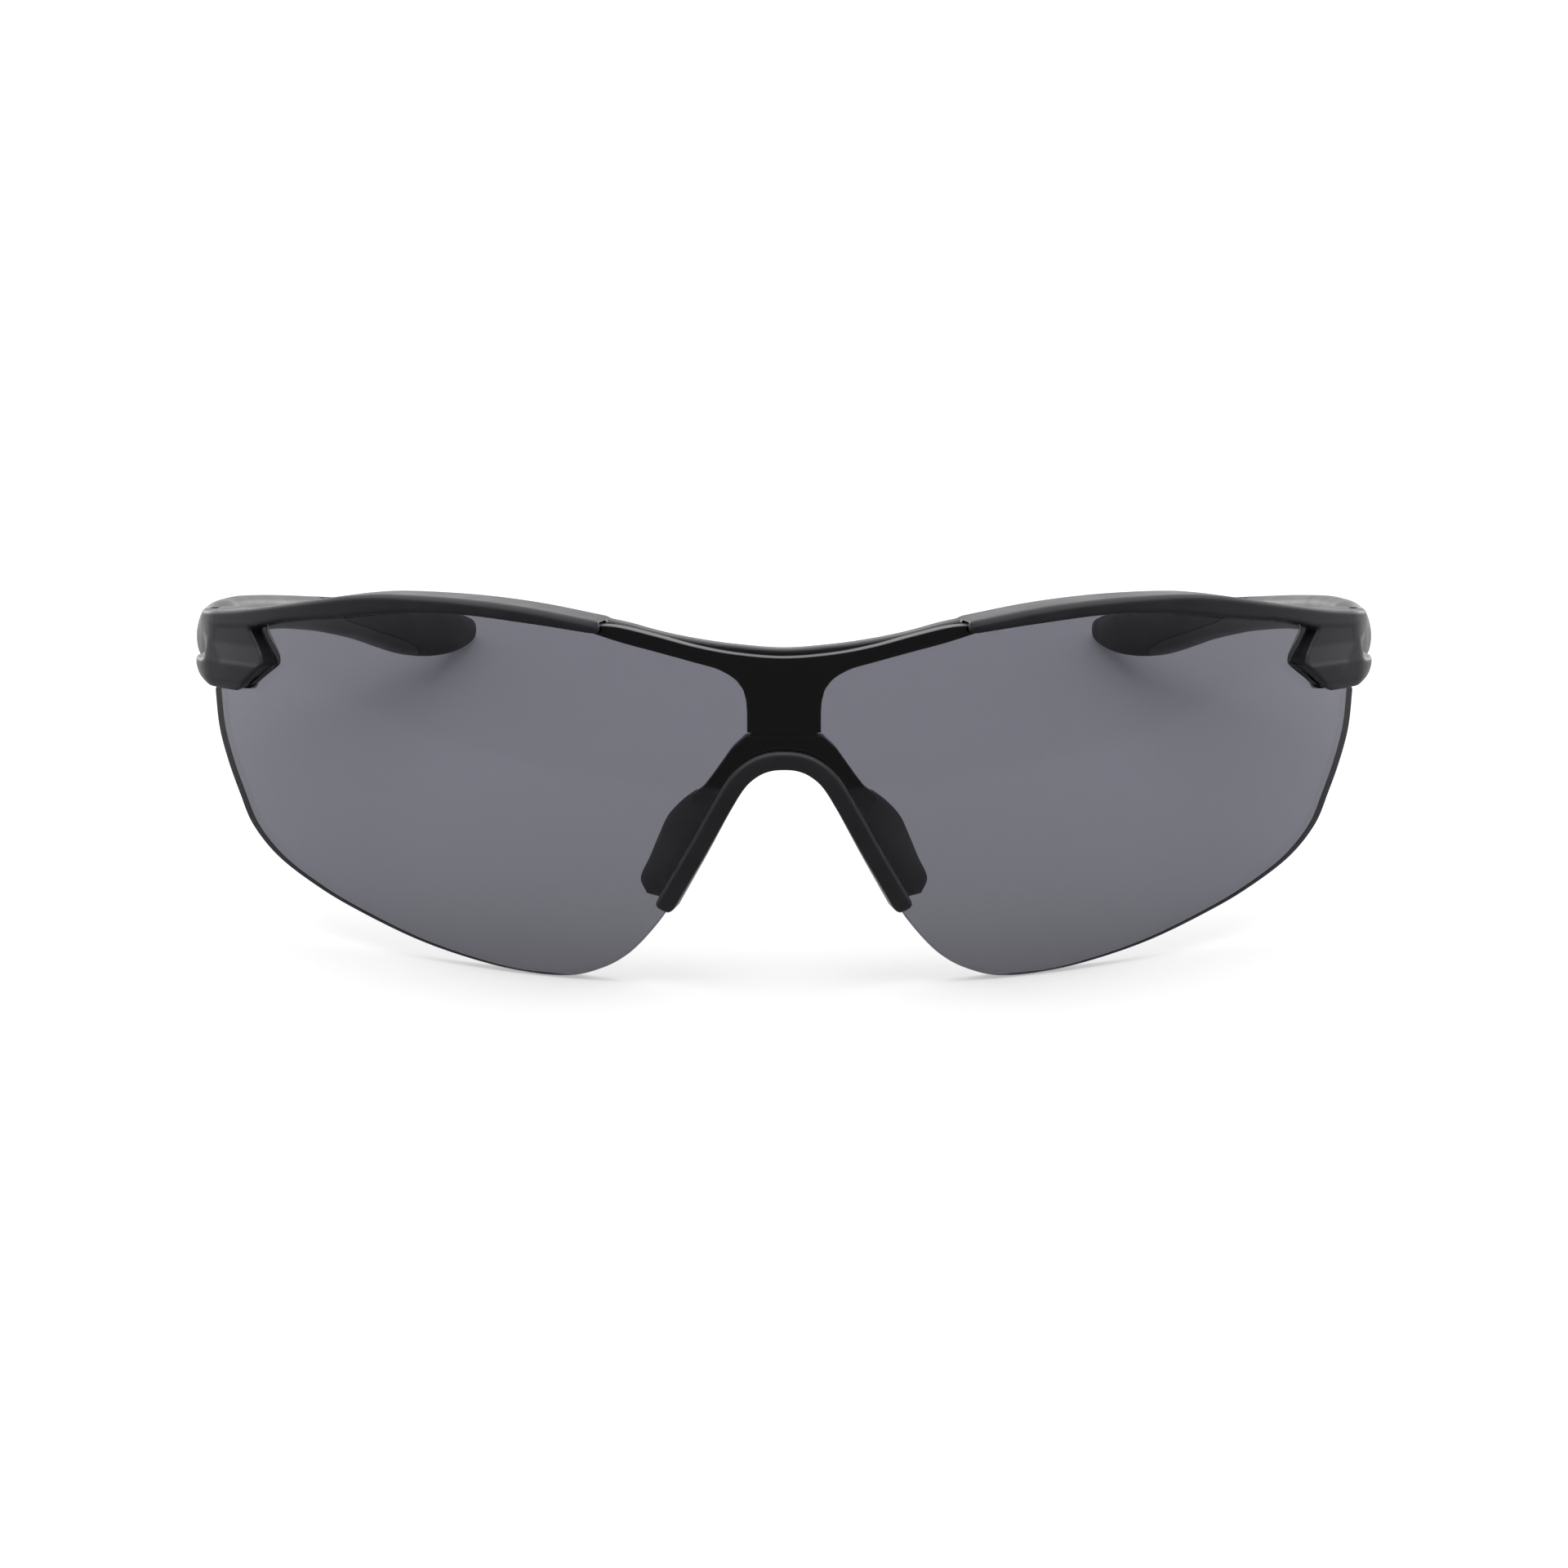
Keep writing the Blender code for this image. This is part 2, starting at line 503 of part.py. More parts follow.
def pad_rings(side, form, count=14):
    """Oval sections from the clip's back out to the wing's edge, one at each chosen station of the pad."""
    rows = []
    for index in form["stations"]:
        (fx, fz), back, thick = PAD_STATIONS[index]
        near = on_lens(arc_length(fx), fz, CLIP_BACK - 0.75)
        far = Vector(back)
        start = near.lerp(far, form["front"])
        end = near.lerp(far, form["back"])
        rows.append((start, end, thick * form["thick"] / 2 + form["grow"]))
    down = (rows[-1][0] - rows[0][0]).normalized()
    rings = []
    for k, (start, end, half) in enumerate(rows):
        length = (end - start).length / 2
        ahead = (end - start).normalized()
        across = down.cross(ahead).normalized()
        middle = (start + end) / 2
        if form is WING_POCKET and k in (0, len(rows) - 1):
            middle = middle + down * (CLEARANCE if k else -CLEARANCE)
        ring = []
        for j in range(count):
            angle = 2 * math.pi * j / count
            c, s = math.cos(angle), math.sin(angle)
            round_off = (abs(c) ** 3 + abs(s) ** 3) ** (-1 / 3)
            p = middle + ahead * length * c * round_off + across * half * s * round_off
            ring.append(Vector((side * p.x, p.y, p.z)))
        rings.append(ring)
    return rings


def make_nose_pad(side, label):
    pad = loft(f"{label}_nose_pad", pad_rings(side, PAD))
    pocket = loft(f"pad_pocket_{label}", pad_rings(side, WING_POCKET))
    return combine(pad, "DIFFERENCE", pocket)


# ---------------------------------------------------------------- temples

def temple_rings(stations, side, step):
    """Rings across the temple, square to its outer face."""
    low, high = stations[0][0], stations[-1][0]
    count = max(2, round((high - low) / step))
    places = [low + (high - low) * k / count for k in range(count + 1)]
    rings = []
    for y in places:
        outer, thick, top, bottom = along(stations, y)
        ahead, *_ = along(stations, min(high, y + 1))
        behind, *_ = along(stations, max(low, y - 1))
        slope = (ahead - behind) / (min(high, y + 1) - max(low, y - 1))
        start, end = HINGE_SECTION_Y
        past = min(1.0, max(0.0, (y - start) / (end - start)))
        ring = []
        for near_hinge, further in zip(HINGE_SECTION, SECTION):
            inward, up = Vector(near_hinge).lerp(Vector(further), past)
            depth = inward * thick
            ring.append(Vector((side * (outer - depth), y + slope * depth, bottom + up * (top - bottom))))
        rings.append(ring)
    return rings


def core_line(y):
    """The line of the temple's core, a little above the middle of its section, as (across, back, up)."""
    outer, thick, top, bottom = along(TEMPLE_STATIONS, y)
    return Vector((outer - thick / 2, y, (top + bottom) / 2 + CORE_RISE))


def make_rod(name, side, start, end, radius, count=12):
    """A round wire, or the hole for one, along the middle of the temple."""
    steps = max(2, round((end - start) / 5.0))
    rings = []
    for k in range(steps + 1):
        centre = core_line(start + (end - start) * k / steps)
        ahead = (core_line(centre.y + 0.5) - core_line(centre.y - 0.5)).normalized()
        across = ahead.cross(Vector((0, 0, 1))).normalized()
        up = across.cross(ahead)
        ring = [centre + across * c + up * s for c, s in circle(0, 0, radius, count)]
        rings.append([Vector((side * p.x, p.y, p.z)) for p in ring])
    return loft(name, rings)


def make_spigot(name, side, grow, start, end):
    """The tongue of the arm that the rubber tip is pushed over, or its pocket in the tip."""
    rows = []
    for y in (start, (start + end) / 2, end):
        middle = core_line(y)
        half = SPIGOT_THICKNESS / 2 + grow
        rows.append((y, middle.x + half, 2 * half, middle.z + SPIGOT_HEIGHT / 2 + grow,
                     middle.z - SPIGOT_HEIGHT / 2 - grow))
    return loft(name, temple_rings(rows, side, 6.0))


def seam_cutter(name, gap, far_y):
    """Everything on one side of the seam, seen from the side, as a thick plate across both temples."""
    seam = [(y + gap, z + gap) for y, z in SEAM]
    outline = [(far_y, 50), (seam[0][0], 50)] + seam + [(seam[-1][0], -50), (far_y, -50)]
    return loft(name, [[Vector((x, y, z)) for y, z in outline] for x in (-100, 100)])


def make_temple_arm(side, label, behind_seam):
    rows = [row for row in TEMPLE_STATIONS if row[0] < SEAM[-1][0] + 8]
    arm = loft(f"{label}_temple_arm", temple_rings(rows, side, 5.0))
    combine(arm, "DIFFERENCE", behind_seam)
    back_y = TEMPLE_STATIONS[0][0] + 1.2
    inner = SKIN_INNER_X + 0.5
    outer = TEMPLE_STATIONS[0][1]
    skin = [(SKIN_INNER_X, ARM_FRONT_Y), (inner, ARM_FRONT_Y), (outer - 0.8, ARM_FRONT_Y + 1.7),
            (outer, ARM_FRONT_Y + 4.3), (outer, back_y), (SKIN_INNER_X, back_y)]
    rings = []
    for z, part in SKIN_LAYERS:
        layer = [(min(x, inner + max(0, x - inner) * part), y) for x, y in skin]
        rings.append([Vector((side * x, y, z)) for x, y in layer])
    combine(arm, "UNION", loft(f"hinge_skin_{label}", rings))
    combine(arm, "UNION", hinge_lug(f"knuckle_{label}", side, *KNUCKLE, False))
    combine(arm, "UNION", make_spigot(f"spigot_{label}", side, 0, SPIGOT_START_Y, SPIGOT_END_Y))
    hole = axis_pin(f"knuckle_hole_{label}", side, SCREW_HOLE_RADIUS, 10, 15)
    wire_hole = make_rod(f"arm_wire_hole_{label}", side, WIRE_START_Y - CLEARANCE, SPIGOT_END_Y + 2,
                         WIRE_RADIUS + WIRE_GAP)
    return combine(arm, "DIFFERENCE", hole, wire_hole)


def make_temple_tip(side, label, ahead_of_seam):
    rows = [row for row in TEMPLE_STATIONS if row[0] > SEAM[0][0] - 12]
    tip = loft(f"{label}_temple_tip", temple_rings(rows, side, 3.4))
    combine(tip, "DIFFERENCE", ahead_of_seam)
    pocket = make_spigot(f"tip_pocket_{label}", side, CLEARANCE, SPIGOT_START_Y - 2,
                         SPIGOT_END_Y + CLEARANCE)
    wire_hole = make_rod(f"tip_wire_hole_{label}", side, SPIGOT_END_Y - 2, WIRE_END_Y + CLEARANCE,
                         WIRE_RADIUS + WIRE_GAP)
    return combine(tip, "DIFFERENCE", pocket, wire_hole)


# ---------------------------------------------------------------- hinge hardware

def make_hinge_screw(side, label):
    """Shank and head in one turned profile, with a slot in the head, which faces down."""
    low = BOTTOM_LUG[0] + 0.05
    shoulder = low + SCREW_HEAD_HEIGHT
    top = TOP_LUG[1] - INSERT_TOP_GAP - 0.35
    rows = [(SCREW_HEAD_RADIUS - 0.2, low), (SCREW_HEAD_RADIUS, low + 0.2), (SCREW_HEAD_RADIUS, shoulder),
            (SCREW_RADIUS, shoulder), (SCREW_RADIUS, top - 0.25), (SCREW_RADIUS - 0.25, top)]
    rings = [[Vector((side * x, y, z)) for x, y in circle(HINGE_X, HINGE_Y, r, 20)] for r, z in rows]
    screw = loft(f"{label}_hinge_screw", rings)
    x = side * HINGE_X
    corner = (x - SLOT_LENGTH / 2, HINGE_Y - SLOT_WIDTH / 2, low - 1)
    opposite = (x + SLOT_LENGTH / 2, HINGE_Y + SLOT_WIDTH / 2, low + SLOT_DEPTH)
    return combine(screw, "DIFFERENCE", box(f"screw_slot_{label}", corner, opposite))


def make_hinge_insert(side, label):
    """The threaded brass bush in the top lug that the screw bites into."""
    top = TOP_LUG[1] - INSERT_TOP_GAP - 0.2
    insert = axis_pin(f"{label}_hinge_insert", side, INSERT_RADIUS, TOP_LUG[0] + 0.1, top, 20)
    return combine(insert, "DIFFERENCE", axis_pin(f"insert_bore_{label}", side, SCREW_RADIUS + 0.08, 13, 17))


def make_washer(side, label, place, below, above):
    """A thin nylon ring that gives the hinge its friction."""
    low = (below + above - WASHER_THICKNESS) / 2
    washer = axis_pin(f"{label}_hinge_washer_{place}", side, WASHER_RADIUS, low, low + WASHER_THICKNESS)
    bore = axis_pin(f"washer_bore_{place}_{label}", side, SCREW_HOLE_RADIUS, low - 1, low + 1)
    return combine(washer, "DIFFERENCE", bore)


# ---------------------------------------------------------------- materials and placing

def material(name, colour, roughness, metallic=0.0, alpha=1.0):
    made = bpy.data.materials.new(name)
    made.use_nodes = True
    shader = made.node_tree.nodes["Principled BSDF"]
    shader.inputs["Base Color"].default_value = (*colour, 1)
    shader.inputs["Roughness"].default_value = roughness
    shader.inputs["Metallic"].default_value = metallic
    shader.inputs["Alpha"].default_value = alpha
    return made


def make_floor():
    """The cutter of the small flats that the glasses stand on: its top is level on the table."""
    block = box("floor_cut", (-200, -100, -60), (200, 200, REST_FLAT))
    block.matrix_world = Matrix.Translation(lobe_point() * MM) @ Matrix.Rotation(rest_tilt(), 4, "X")
    return block


def lobe_point():
    """The lowest point of a lens lobe, in the wearer's frame."""
    return on_lens(arc_length(LOBE[0]), LOBE[1], -LENS_THICKNESS)


def rest_tilt():
    """The slope of the table, which touches both lobes and the lowest part of both temple tips."""
    lobe = lobe_point()
    return min(math.atan2(bottom - lobe.z, y - lobe.y) for y, _, _, _, bottom in TEMPLE_STATIONS[-6:])


def clear_scene():
    for obj in list(bpy.data.objects):
        bpy.data.objects.remove(obj)


def main():
    clear_scene()
    clearance = make_lens_clearance()
    lens = make_lens()
    pieces = {"lens": [lens], "frame": [make_front_frame(clearance)], "rubber": [], "steel": [], "brass": [],
              "bridge": [make_nose_bridge(clearance)], "nylon": []}
    floor = make_floor()
    behind_seam = seam_cutter("behind_seam", 0.0, 250)
    ahead_of_seam = seam_cutter("ahead_of_seam", SEAM_GAP, -50)
    combine(lens, "DIFFERENCE", floor)
    for side, label in ((1, "left"), (-1, "right")):
        pieces["rubber"].append(make_nose_pad(side, label))
        pieces["rubber"].append(combine(make_temple_tip(side, label, ahead_of_seam), "DIFFERENCE", floor))
        pieces["frame"].append(make_temple_arm(side, label, behind_seam))
        pieces["steel"].append(make_hinge_screw(side, label))
        wire = make_rod(f"{label}_temple_core_wire", side, WIRE_START_Y, WIRE_END_Y, WIRE_RADIUS)
        pieces["steel"].append(wire)
        pieces["brass"].append(make_hinge_insert(side, label))
        pieces["nylon"].append(make_washer(side, label, "lower", BOTTOM_LUG[1], KNUCKLE[0]))
        pieces["nylon"].append(make_washer(side, label, "upper", KNUCKLE[1], TOP_LUG[0]))
    finishes = {"lens": material("smoke lens", (0.18, 0.18, 0.21), 0.03, 0.0, 0.6),
                "frame": material("charcoal nylon", (0.030, 0.029, 0.038), 0.4),
                "bridge": material("black nylon", (0.022, 0.022, 0.025), 0.45),
                "rubber": material("black rubber", (0.015, 0.015, 0.016), 0.7),
                "steel": material("screw steel", (0.55, 0.56, 0.58), 0.3, 1.0),
                "brass": material("insert brass", (0.72, 0.52, 0.22), 0.35, 1.0),
                "nylon": material("natural nylon", (0.75, 0.74, 0.70), 0.5)}
    stand = bpy.data.objects.new("standing_pose", None)
    bpy.context.scene.collection.objects.link(stand)
    for finish, group in pieces.items():
        for piece in group:
            piece.data.materials.append(finishes[finish])
            piece.data.shade_smooth()
            piece.data.set_sharp_from_angle(angle=math.radians(30))
    for obj in bpy.context.scene.objects:
        if obj is not stand and obj.parent is None:
            obj.parent = stand
    stand.rotation_euler = (-rest_tilt(), 0, 0)
    bpy.context.view_layer.update()
    settle(stand, [p for group in pieces.values() for p in group])


def settle(stand, pieces):
    """Moves the stand so that the origin is under the middle of the glasses' box, on the table."""
    graph = bpy.context.evaluated_depsgraph_get()
    corners = []
    for piece in pieces:
        evaluated = piece.evaluated_get(graph)
        mesh = evaluated.to_mesh()
        corners += [evaluated.matrix_world @ v.co for v in mesh.vertices]
        evaluated.to_mesh_clear()
    ys = [p.y for p in corners]
    stand.location = (0, -(min(ys) + max(ys)) / 2, -min(p.z for p in corners))
    bpy.context.view_layer.update()


main()
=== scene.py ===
"""The looks of the wraparound sport sunglasses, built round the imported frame.

Every piece is drawn upright in the wearer's frame, in millimetres: X to the wearer's left, Y back towards
the ears, Z up, with the origin on the front of the lens in the middle. The frame's hinge says how far the
glasses lean back and where they stand, and that turns each piece's points into the frame's world metres.
"""

import json
import math

import bmesh
import bpy
import numpy as np
from mathutils import Matrix, Vector


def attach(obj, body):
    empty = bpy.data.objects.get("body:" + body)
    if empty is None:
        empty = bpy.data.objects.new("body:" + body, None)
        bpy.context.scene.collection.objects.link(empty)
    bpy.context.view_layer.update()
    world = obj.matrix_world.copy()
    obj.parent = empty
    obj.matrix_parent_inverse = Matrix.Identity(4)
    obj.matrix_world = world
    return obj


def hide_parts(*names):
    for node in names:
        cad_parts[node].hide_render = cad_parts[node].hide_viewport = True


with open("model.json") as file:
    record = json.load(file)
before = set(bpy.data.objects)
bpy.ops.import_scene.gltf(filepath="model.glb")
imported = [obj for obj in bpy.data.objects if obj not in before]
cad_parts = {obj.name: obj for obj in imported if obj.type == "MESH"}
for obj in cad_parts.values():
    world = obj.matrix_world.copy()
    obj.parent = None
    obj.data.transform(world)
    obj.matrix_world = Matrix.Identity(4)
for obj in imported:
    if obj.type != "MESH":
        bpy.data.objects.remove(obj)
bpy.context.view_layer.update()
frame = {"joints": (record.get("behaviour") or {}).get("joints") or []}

MM = 0.001

# ------ sizes, in millimetres

# The lens is a toric shell, and past it the front turns a corner and runs straight back to the hinge.
WRAP_RADIUS = 88.0
SAG_RADIUS = 150.0
LENS_THICKNESS = 2.0
CLEARANCE = 0.3
CORNER_RADIUS = 8.0
SIDE_X = 69.0
CORNER_ANGLE = math.asin((SIDE_X - CORNER_RADIUS) / (WRAP_RADIUS - CORNER_RADIUS))
CORNER_START = WRAP_RADIUS * CORNER_ANGLE
CORNER_END = CORNER_START + CORNER_RADIUS * (math.pi / 2 - CORNER_ANGLE)
CORNER_END_Y = WRAP_RADIUS - (WRAP_RADIUS - CORNER_RADIUS) * math.cos(CORNER_ANGLE)
FRONT_END_Y = 38.0

# Front frame: depth is along the lens's normal, and 0 is the lens's front face.
BROW_FRONT = 1.25
BROW_BACK = -4.4
BRIDGE_BAR_FRONT = -2.9
BRIDGE_BAR_BACK = -5.4
FLANGE_START_X = 21.2
FLANGE_ROUND = 1.0
POST_HALF_WIDTH = 4.4
POST_BOTTOM = 5.5
TONGUE_HALF_WIDTH = 3.8
TONGUE_BOTTOM = 3.2
TONGUE_DEPTH = (-4.75, -3.55)
BROW_RADII = (0.6, 1.3, 0.3, 0.25, 0.35)
# The brow arm's back comes forward between these two distances round the front, and its chamfer flattens.
BROW_TAPER_S = (22.0, 67.0)
BROW_TAPER_DEPTH = 0.8
CHAMFER_ACROSS = 0.35
CHAMFER_DOWN = 0.75
CHAMFER_FLATTENS = 0.45
# Past the last station of its outline it eases over this distance to the hinge's height and depth.
BROW_EASE = 6.0
BROW_EASE_DEPTH = 0.4

# Hinge: an upright screw through two lugs on the front and one knuckle on the temple.
HINGE_X = 66.2
HINGE_Y = 40.3
HINGE_Z = 12.0
KNUCKLE_RADIUS = 2.0
TOP_LUG = (14.1, 15.75)
KNUCKLE = (11.7, 13.6)
BOTTOM_LUG = (9.45, 11.2)
WASHER_THICKNESS = 0.3
WASHER_RADIUS = 1.7
SCREW_RADIUS = 0.7
SCREW_HEAD_RADIUS = 1.2
SCREW_HEAD_HEIGHT = 0.6
SCREW_HOLE_RADIUS = 0.85
SLOT_LENGTH = 3.0
SLOT_WIDTH = 0.32
SLOT_DEPTH = 0.3
INSERT_RADIUS = 1.3
INSERT_TOP_GAP = 0.25
# How far forward of the front's end the lugs reach, and how far behind the axis the knuckle does.
LUG_ROOT = 1.6
KNUCKLE_ROOT = 3.6
LUG_BEVEL = 0.18
# Cutters on the hinge axis: their heights, and their gaps round the hardware.
BELOW_HINGE = 8.0
SCREW_HOLE_TOP = TOP_LUG[1] - 0.45
HEAD_GAP = 0.2
POCKET_GAP = 0.1
KNUCKLE_HOLE = (10.0, 15.0)

# Temples. The seam between the nylon arm and the rubber tip is (back, up).
SEAM = [(93.0, 12.3), (99.5, 7.7), (108.0, 5.3), (121.0, 1.95), (127.0, -0.25)]
SEAM_GAP = 0.12
SPIGOT_START_Y = 86.0
SPIGOT_END_Y = 118.0
SPIGOT_THICKNESS = 2.0
SPIGOT_HEIGHT = 1.8
SPIGOT_ROUND = 0.5
WIRE_START_Y = 98.0
WIRE_END_Y = 146.0
WIRE_RADIUS = 0.45
WIRE_GAP = 0.15
CORE_RISE = 0.5

# Outlines, as (across, up) on the lens's front face. Each list is one side, from the middle outwards.
LENS_TOP = [(0, 14.45), (5.6, 14.85), (10.3, 15.65), (15, 16.8), (19.6, 17.75), (24.3, 17.95), (30, 18.9),
            (38, 19.4), (46, 19.2), (55, 17.9), (61.8, 16.1)]
LENS_NOTCH = [(62.5, 14.7), (60.5, 11.6), (60.35, 10.8), (63.6, 7.9), (67.6, 7.9)]
LENS_BOTTOM = [(0, 2.5), (1.3, 2.42), (2.6, 2.05), (3.8, 1.35), (4.85, 0.4), (5.75, -0.85), (6.6, -2.3),
               (7.45, -3.8), (9.75, -8.0), (12.0, -11.9), (14.4, -16.0), (18.5, -20.4), (22.6, -22.5),
               (26.5, -23.2), (32.3, -22.8), (38.3, -21.6), (43.9, -20.0), (49.8, -17.7), (54.8, -15.4),
               (60.0, -12.2), (63.2, -8.7), (64.8, -5.0), (66.2, -1.3), (67.3, 2.5), (67.9, 6.9)]
BAR_TOP = [(0, 15.1), (5.6, 15.45), (10.3, 16.0), (15, 16.8), (18.8, 17.68), (21.5, 18.15), (24.0, 18.5)]
BAR_BOTTOM = [(24.0, 16.8), (19.7, 15.6), (15, 14.5), (10.3, 13.35), (7.7, 12.65), (5.7, 11.5), (4.85, 10.4),
              (4.5, 9.1), (POST_HALF_WIDTH, 7.8), (POST_HALF_WIDTH, POST_BOTTOM)]
BROW_TOP = [(21.5, 18.42), (30, 19.74), (38, 20.35), (46, 20.35), (50.8, 19.88), (55.4, 18.95), (63.7, 17.1),
            (67.0, 16.5)]
BROW_BOTTOM = [(21.5, 16.9), (29, 17.8), (37.7, 18.5), (45.5, 18.15), (53.4, 16.95), (58.5, 16.2),
               (61.2, 15.5), (62.6, 15.05), (67.0, 14.5)]
HINGE_TOP_Z = 15.95
HINGE_LOW_Z = 9.2
BOSS_EDGE = [(63.1, 15.6), (62.8, 14.7), (60.8, 11.5), (60.7, 10.8), (63.7, 7.7), (64.6, 7.25), (66.6, 7.25)]
# How proud the endpiece is at each height: next to the notch, at its corner and on its outer side.
SCOOP = [(6.5, 0.2), (7.3, 0.75), (8.4, 1.4), (10.5, 1.7), (10.7, 1.55), (12.8, 1.15), (14.4, 1.15),
         (16.0, 1.2)]
PILLAR = [(6.5, 0.2), (7.3, 0.75), (8.4, 1.4), (10.5, 1.65), (12.0, 1.5), (14.0, 1.2), (16.0, 1.1)]
SIDE = [(6.5, -0.8), (7.3, -0.1), (7.9, 0.75), (8.6, 1.15), (9.5, 1.42), (10.3, 1.45), (10.9, 0.0),
        (12.0, 0.35), (13.8, 0.95), (16.0, 1.0)]
# The scoop meets the pillar along a crease that leans, and the pillar fades into the side.
SCOOP_EDGE_S = 74.2
SCOOP_EDGE_Z = 10.5
SCOOP_EDGE_LEAN = 1.25
SCOOP_FADE = 0.7
PILLAR_S = 77.3
PILLAR_FADE = 3.0
# The endpiece's underside, as (round the front, up), and how its back deepens away from the notch.
ENDPIECE_LOW = [(79.0, 7.45), (82.0, 8.3)]
ENDPIECE_TOP_Z = 15.3
NOTCH_BACK = -2.3
NOTCH_BACK_SLOPE = 0.93

# The nose clip follows the lens's nose cut-out, and its wings spread back and outwards.
CLIP_PATH = LENS_BOTTOM[:10] + [(13.35, -14.2)]
CLIP_INNER = -0.85
CLIP_OUTER = 1.35
CLIP_FRONT = 1.3
CLIP_BACK = -3.5
# Its section, as (into the lens, proud), with a radius for each corner, and how its ends shrink and run on.
CLIP_SECTION = [(CLIP_INNER, CLIP_BACK), (CLIP_INNER, 0.85), (CLIP_INNER + 0.75, CLIP_FRONT),
                (1.0, CLIP_FRONT), (CLIP_OUTER, 0.85), (CLIP_OUTER, CLIP_BACK)]
CLIP_RADII = (0.4, 0.5, 0.5, 0.35, 0.35, 0.5)
CLIP_END = ((0.93, 0.45), (0.78, 0.8), (0.5, 1.0))
WEB_OUTER = [(4.6, 5.2), (6.2, 3.8), (8.1, 1.2), (9.7, -1.0)]
WEB_BACK = -5.8
WEB_FRONT = -2.6
WEB_LOW_Z = -1.4
# A thin lip on each side of the web covers the top of the pad.
LIP = [(6.9, 2.2), (8.3, 0.9), (9.4, -0.5), (11.0, -1.7), (11.1, -2.6), (8.9, -3.1), (7.2, -2.8)]
LIP_BACK = -3.9

# Nose pads, at stations down the clip: front edge (across, up), back edge (across, back, up) and thickness.
PAD_STATIONS = [((6.9, -2.0), (9.9, 7.6, -1.6), 1.3), ((7.7, -3.4), (11.4, 9.6, -3.2), 2.1),
                ((8.8, -5.3), (12.9, 11.3, -5.3), 2.7), ((10.1, -7.6), (13.9, 12.2, -7.8), 2.9),
                ((11.4, -10.0), (14.9, 12.2, -10.3), 2.9), ((12.5, -12.2), (16.1, 11.6, -12.6), 2.5),
                ((13.2, -13.6), (15.6, 9.6, -14.0), 1.4)]
PAD_START = CLIP_BACK - 0.75
PAD_DOME = 0.35
WING_GROW = 0.35

# Temple stations: back, outer face across, thickness, top and bottom.
TEMPLE_STATIONS = [
    (42.6, 70.4, 4.7, 15.5, 9.1), (46.0, 71.1, 5.05, 15.7, 9.1), (50.0, 71.4, 5.15, 15.6, 9.15),
    (56.0, 71.0, 4.8, 15.2, 9.25), (65.0, 69.5, 4.3, 14.5, 9.6), (80.0, 66.2, 3.8, 12.85, 8.65),
    (95.0, 62.2, 3.5, 11.0, 6.65), (104.0, 59.5, 3.5, 9.85, 5.0), (112.0, 57.3, 3.8, 8.9, 3.35),
    (118.0, 55.5, 4.0, 8.05, 1.85), (126.0, 52.9, 4.1, 6.75, -0.1), (134.0, 50.4, 4.1, 5.5, -1.35),
    (142.0, 48.2, 4.0, 3.9, -1.9), (150.0, 46.6, 3.6, 2.3, -1.95), (155.5, 45.7, 2.9, 1.2, -1.7),
    (158.0, 45.1, 1.6, 0.3, -0.8)]
# The skin that hides the hinge runs forward from the arm: back, outer face across and thickness.
SKIN_STATIONS = [(38.15, 68.95, 0.45), (39.0, 69.25, 0.72), (40.0, 69.6, 1.05), (41.3, 70.05, 1.45),
                 (42.5, 70.38, 1.85)]
# The temple's section, as parts of its (thickness inwards, height up).
SECTION = [(0.2, 0.0), (0.06, 0.13), (0.0, 0.42), (0.03, 0.66), (0.12, 0.86), (0.34, 1.0), (0.64, 1.0),
           (0.9, 0.86), (1.0, 0.62), (1.0, 0.3), (0.9, 0.1), (0.66, 0.0)]
HINGE_SECTION = [(0.2, 0.0), (0.05, 0.1), (0.0, 0.36), (0.05, 0.62), (0.16, 0.82), (0.4, 0.96), (0.7, 1.0),
                 (0.92, 0.9), (1.0, 0.62), (1.0, 0.3), (0.9, 0.1), (0.66, 0.0)]
HINGE_SECTION_Y = (56.0, 80.0)
# The rubber tip's last rings before its end, and how the end shrinks and runs on.
TIP_LAST_RINGS = (1.2, 0.8, 0.45, 0.2)
TIP_END = ((0.92, -0.06), (0.75, 0.08), (0.5, 0.16), (0.25, 0.2))

LENS_EDGE_ROUND = 0.12
# A face whose normal lies further from the lens's own than this cosine belongs to the lens's cut edge.
RIM_COSINE = 0.9
VOXEL = 0.14

# ------ looks, light and camera

LENS_TINT = (0.158, 0.157, 0.186)
# The lens's colour with painted shadow, used for its lower part.
LENS_TINT_WITH_PAINTED_SHADOW = (0.135, 0.135, 0.153)
# Painted shadow: the second colour darkens the lower part of the lens, standing in for the glasses' shadow
# on the floor seen through it. The blend follows 0.8 of the depth plus the height, between these two values
# in metres.
PAINTED_SHADOW_AXIS = (0, 0.8, 1.0)
PAINTED_SHADOW_RANGE = (-0.058, -0.032)

FLOOR_REACH = 3.0
FLOOR_DROP = 0.0001
FLOOR_GREY = 0.6
FLOOR_GLOW = 0.42

# The surround is darkest in front, at its first strength, and brightest up behind, along this direction.
SURROUND_AXIS = (0, 0.8, 0.6)
SURROUND_RANGE = (-0.4, 0.75)
SURROUND_STRENGTH = (0.13, 1.25)
# Soft boxes: place and target in metres, width and height in metres, and power in watts.
TOP_BOX = ((0, 0.1, 1.0), (0, 0, 0), (1.6, 1.2), 6.5)
BACK_BOX = ((0.75, 0.95, 0.2), (0, 0, 0.02), (0.8, 0.36), 3.6)

CAMERA_LENS = 150.47
CAMERA_SENSOR = 36
CAMERA_DISTANCE = 0.75
CAMERA_RISE = math.radians(8)


# ------ where the glasses stand in the frame

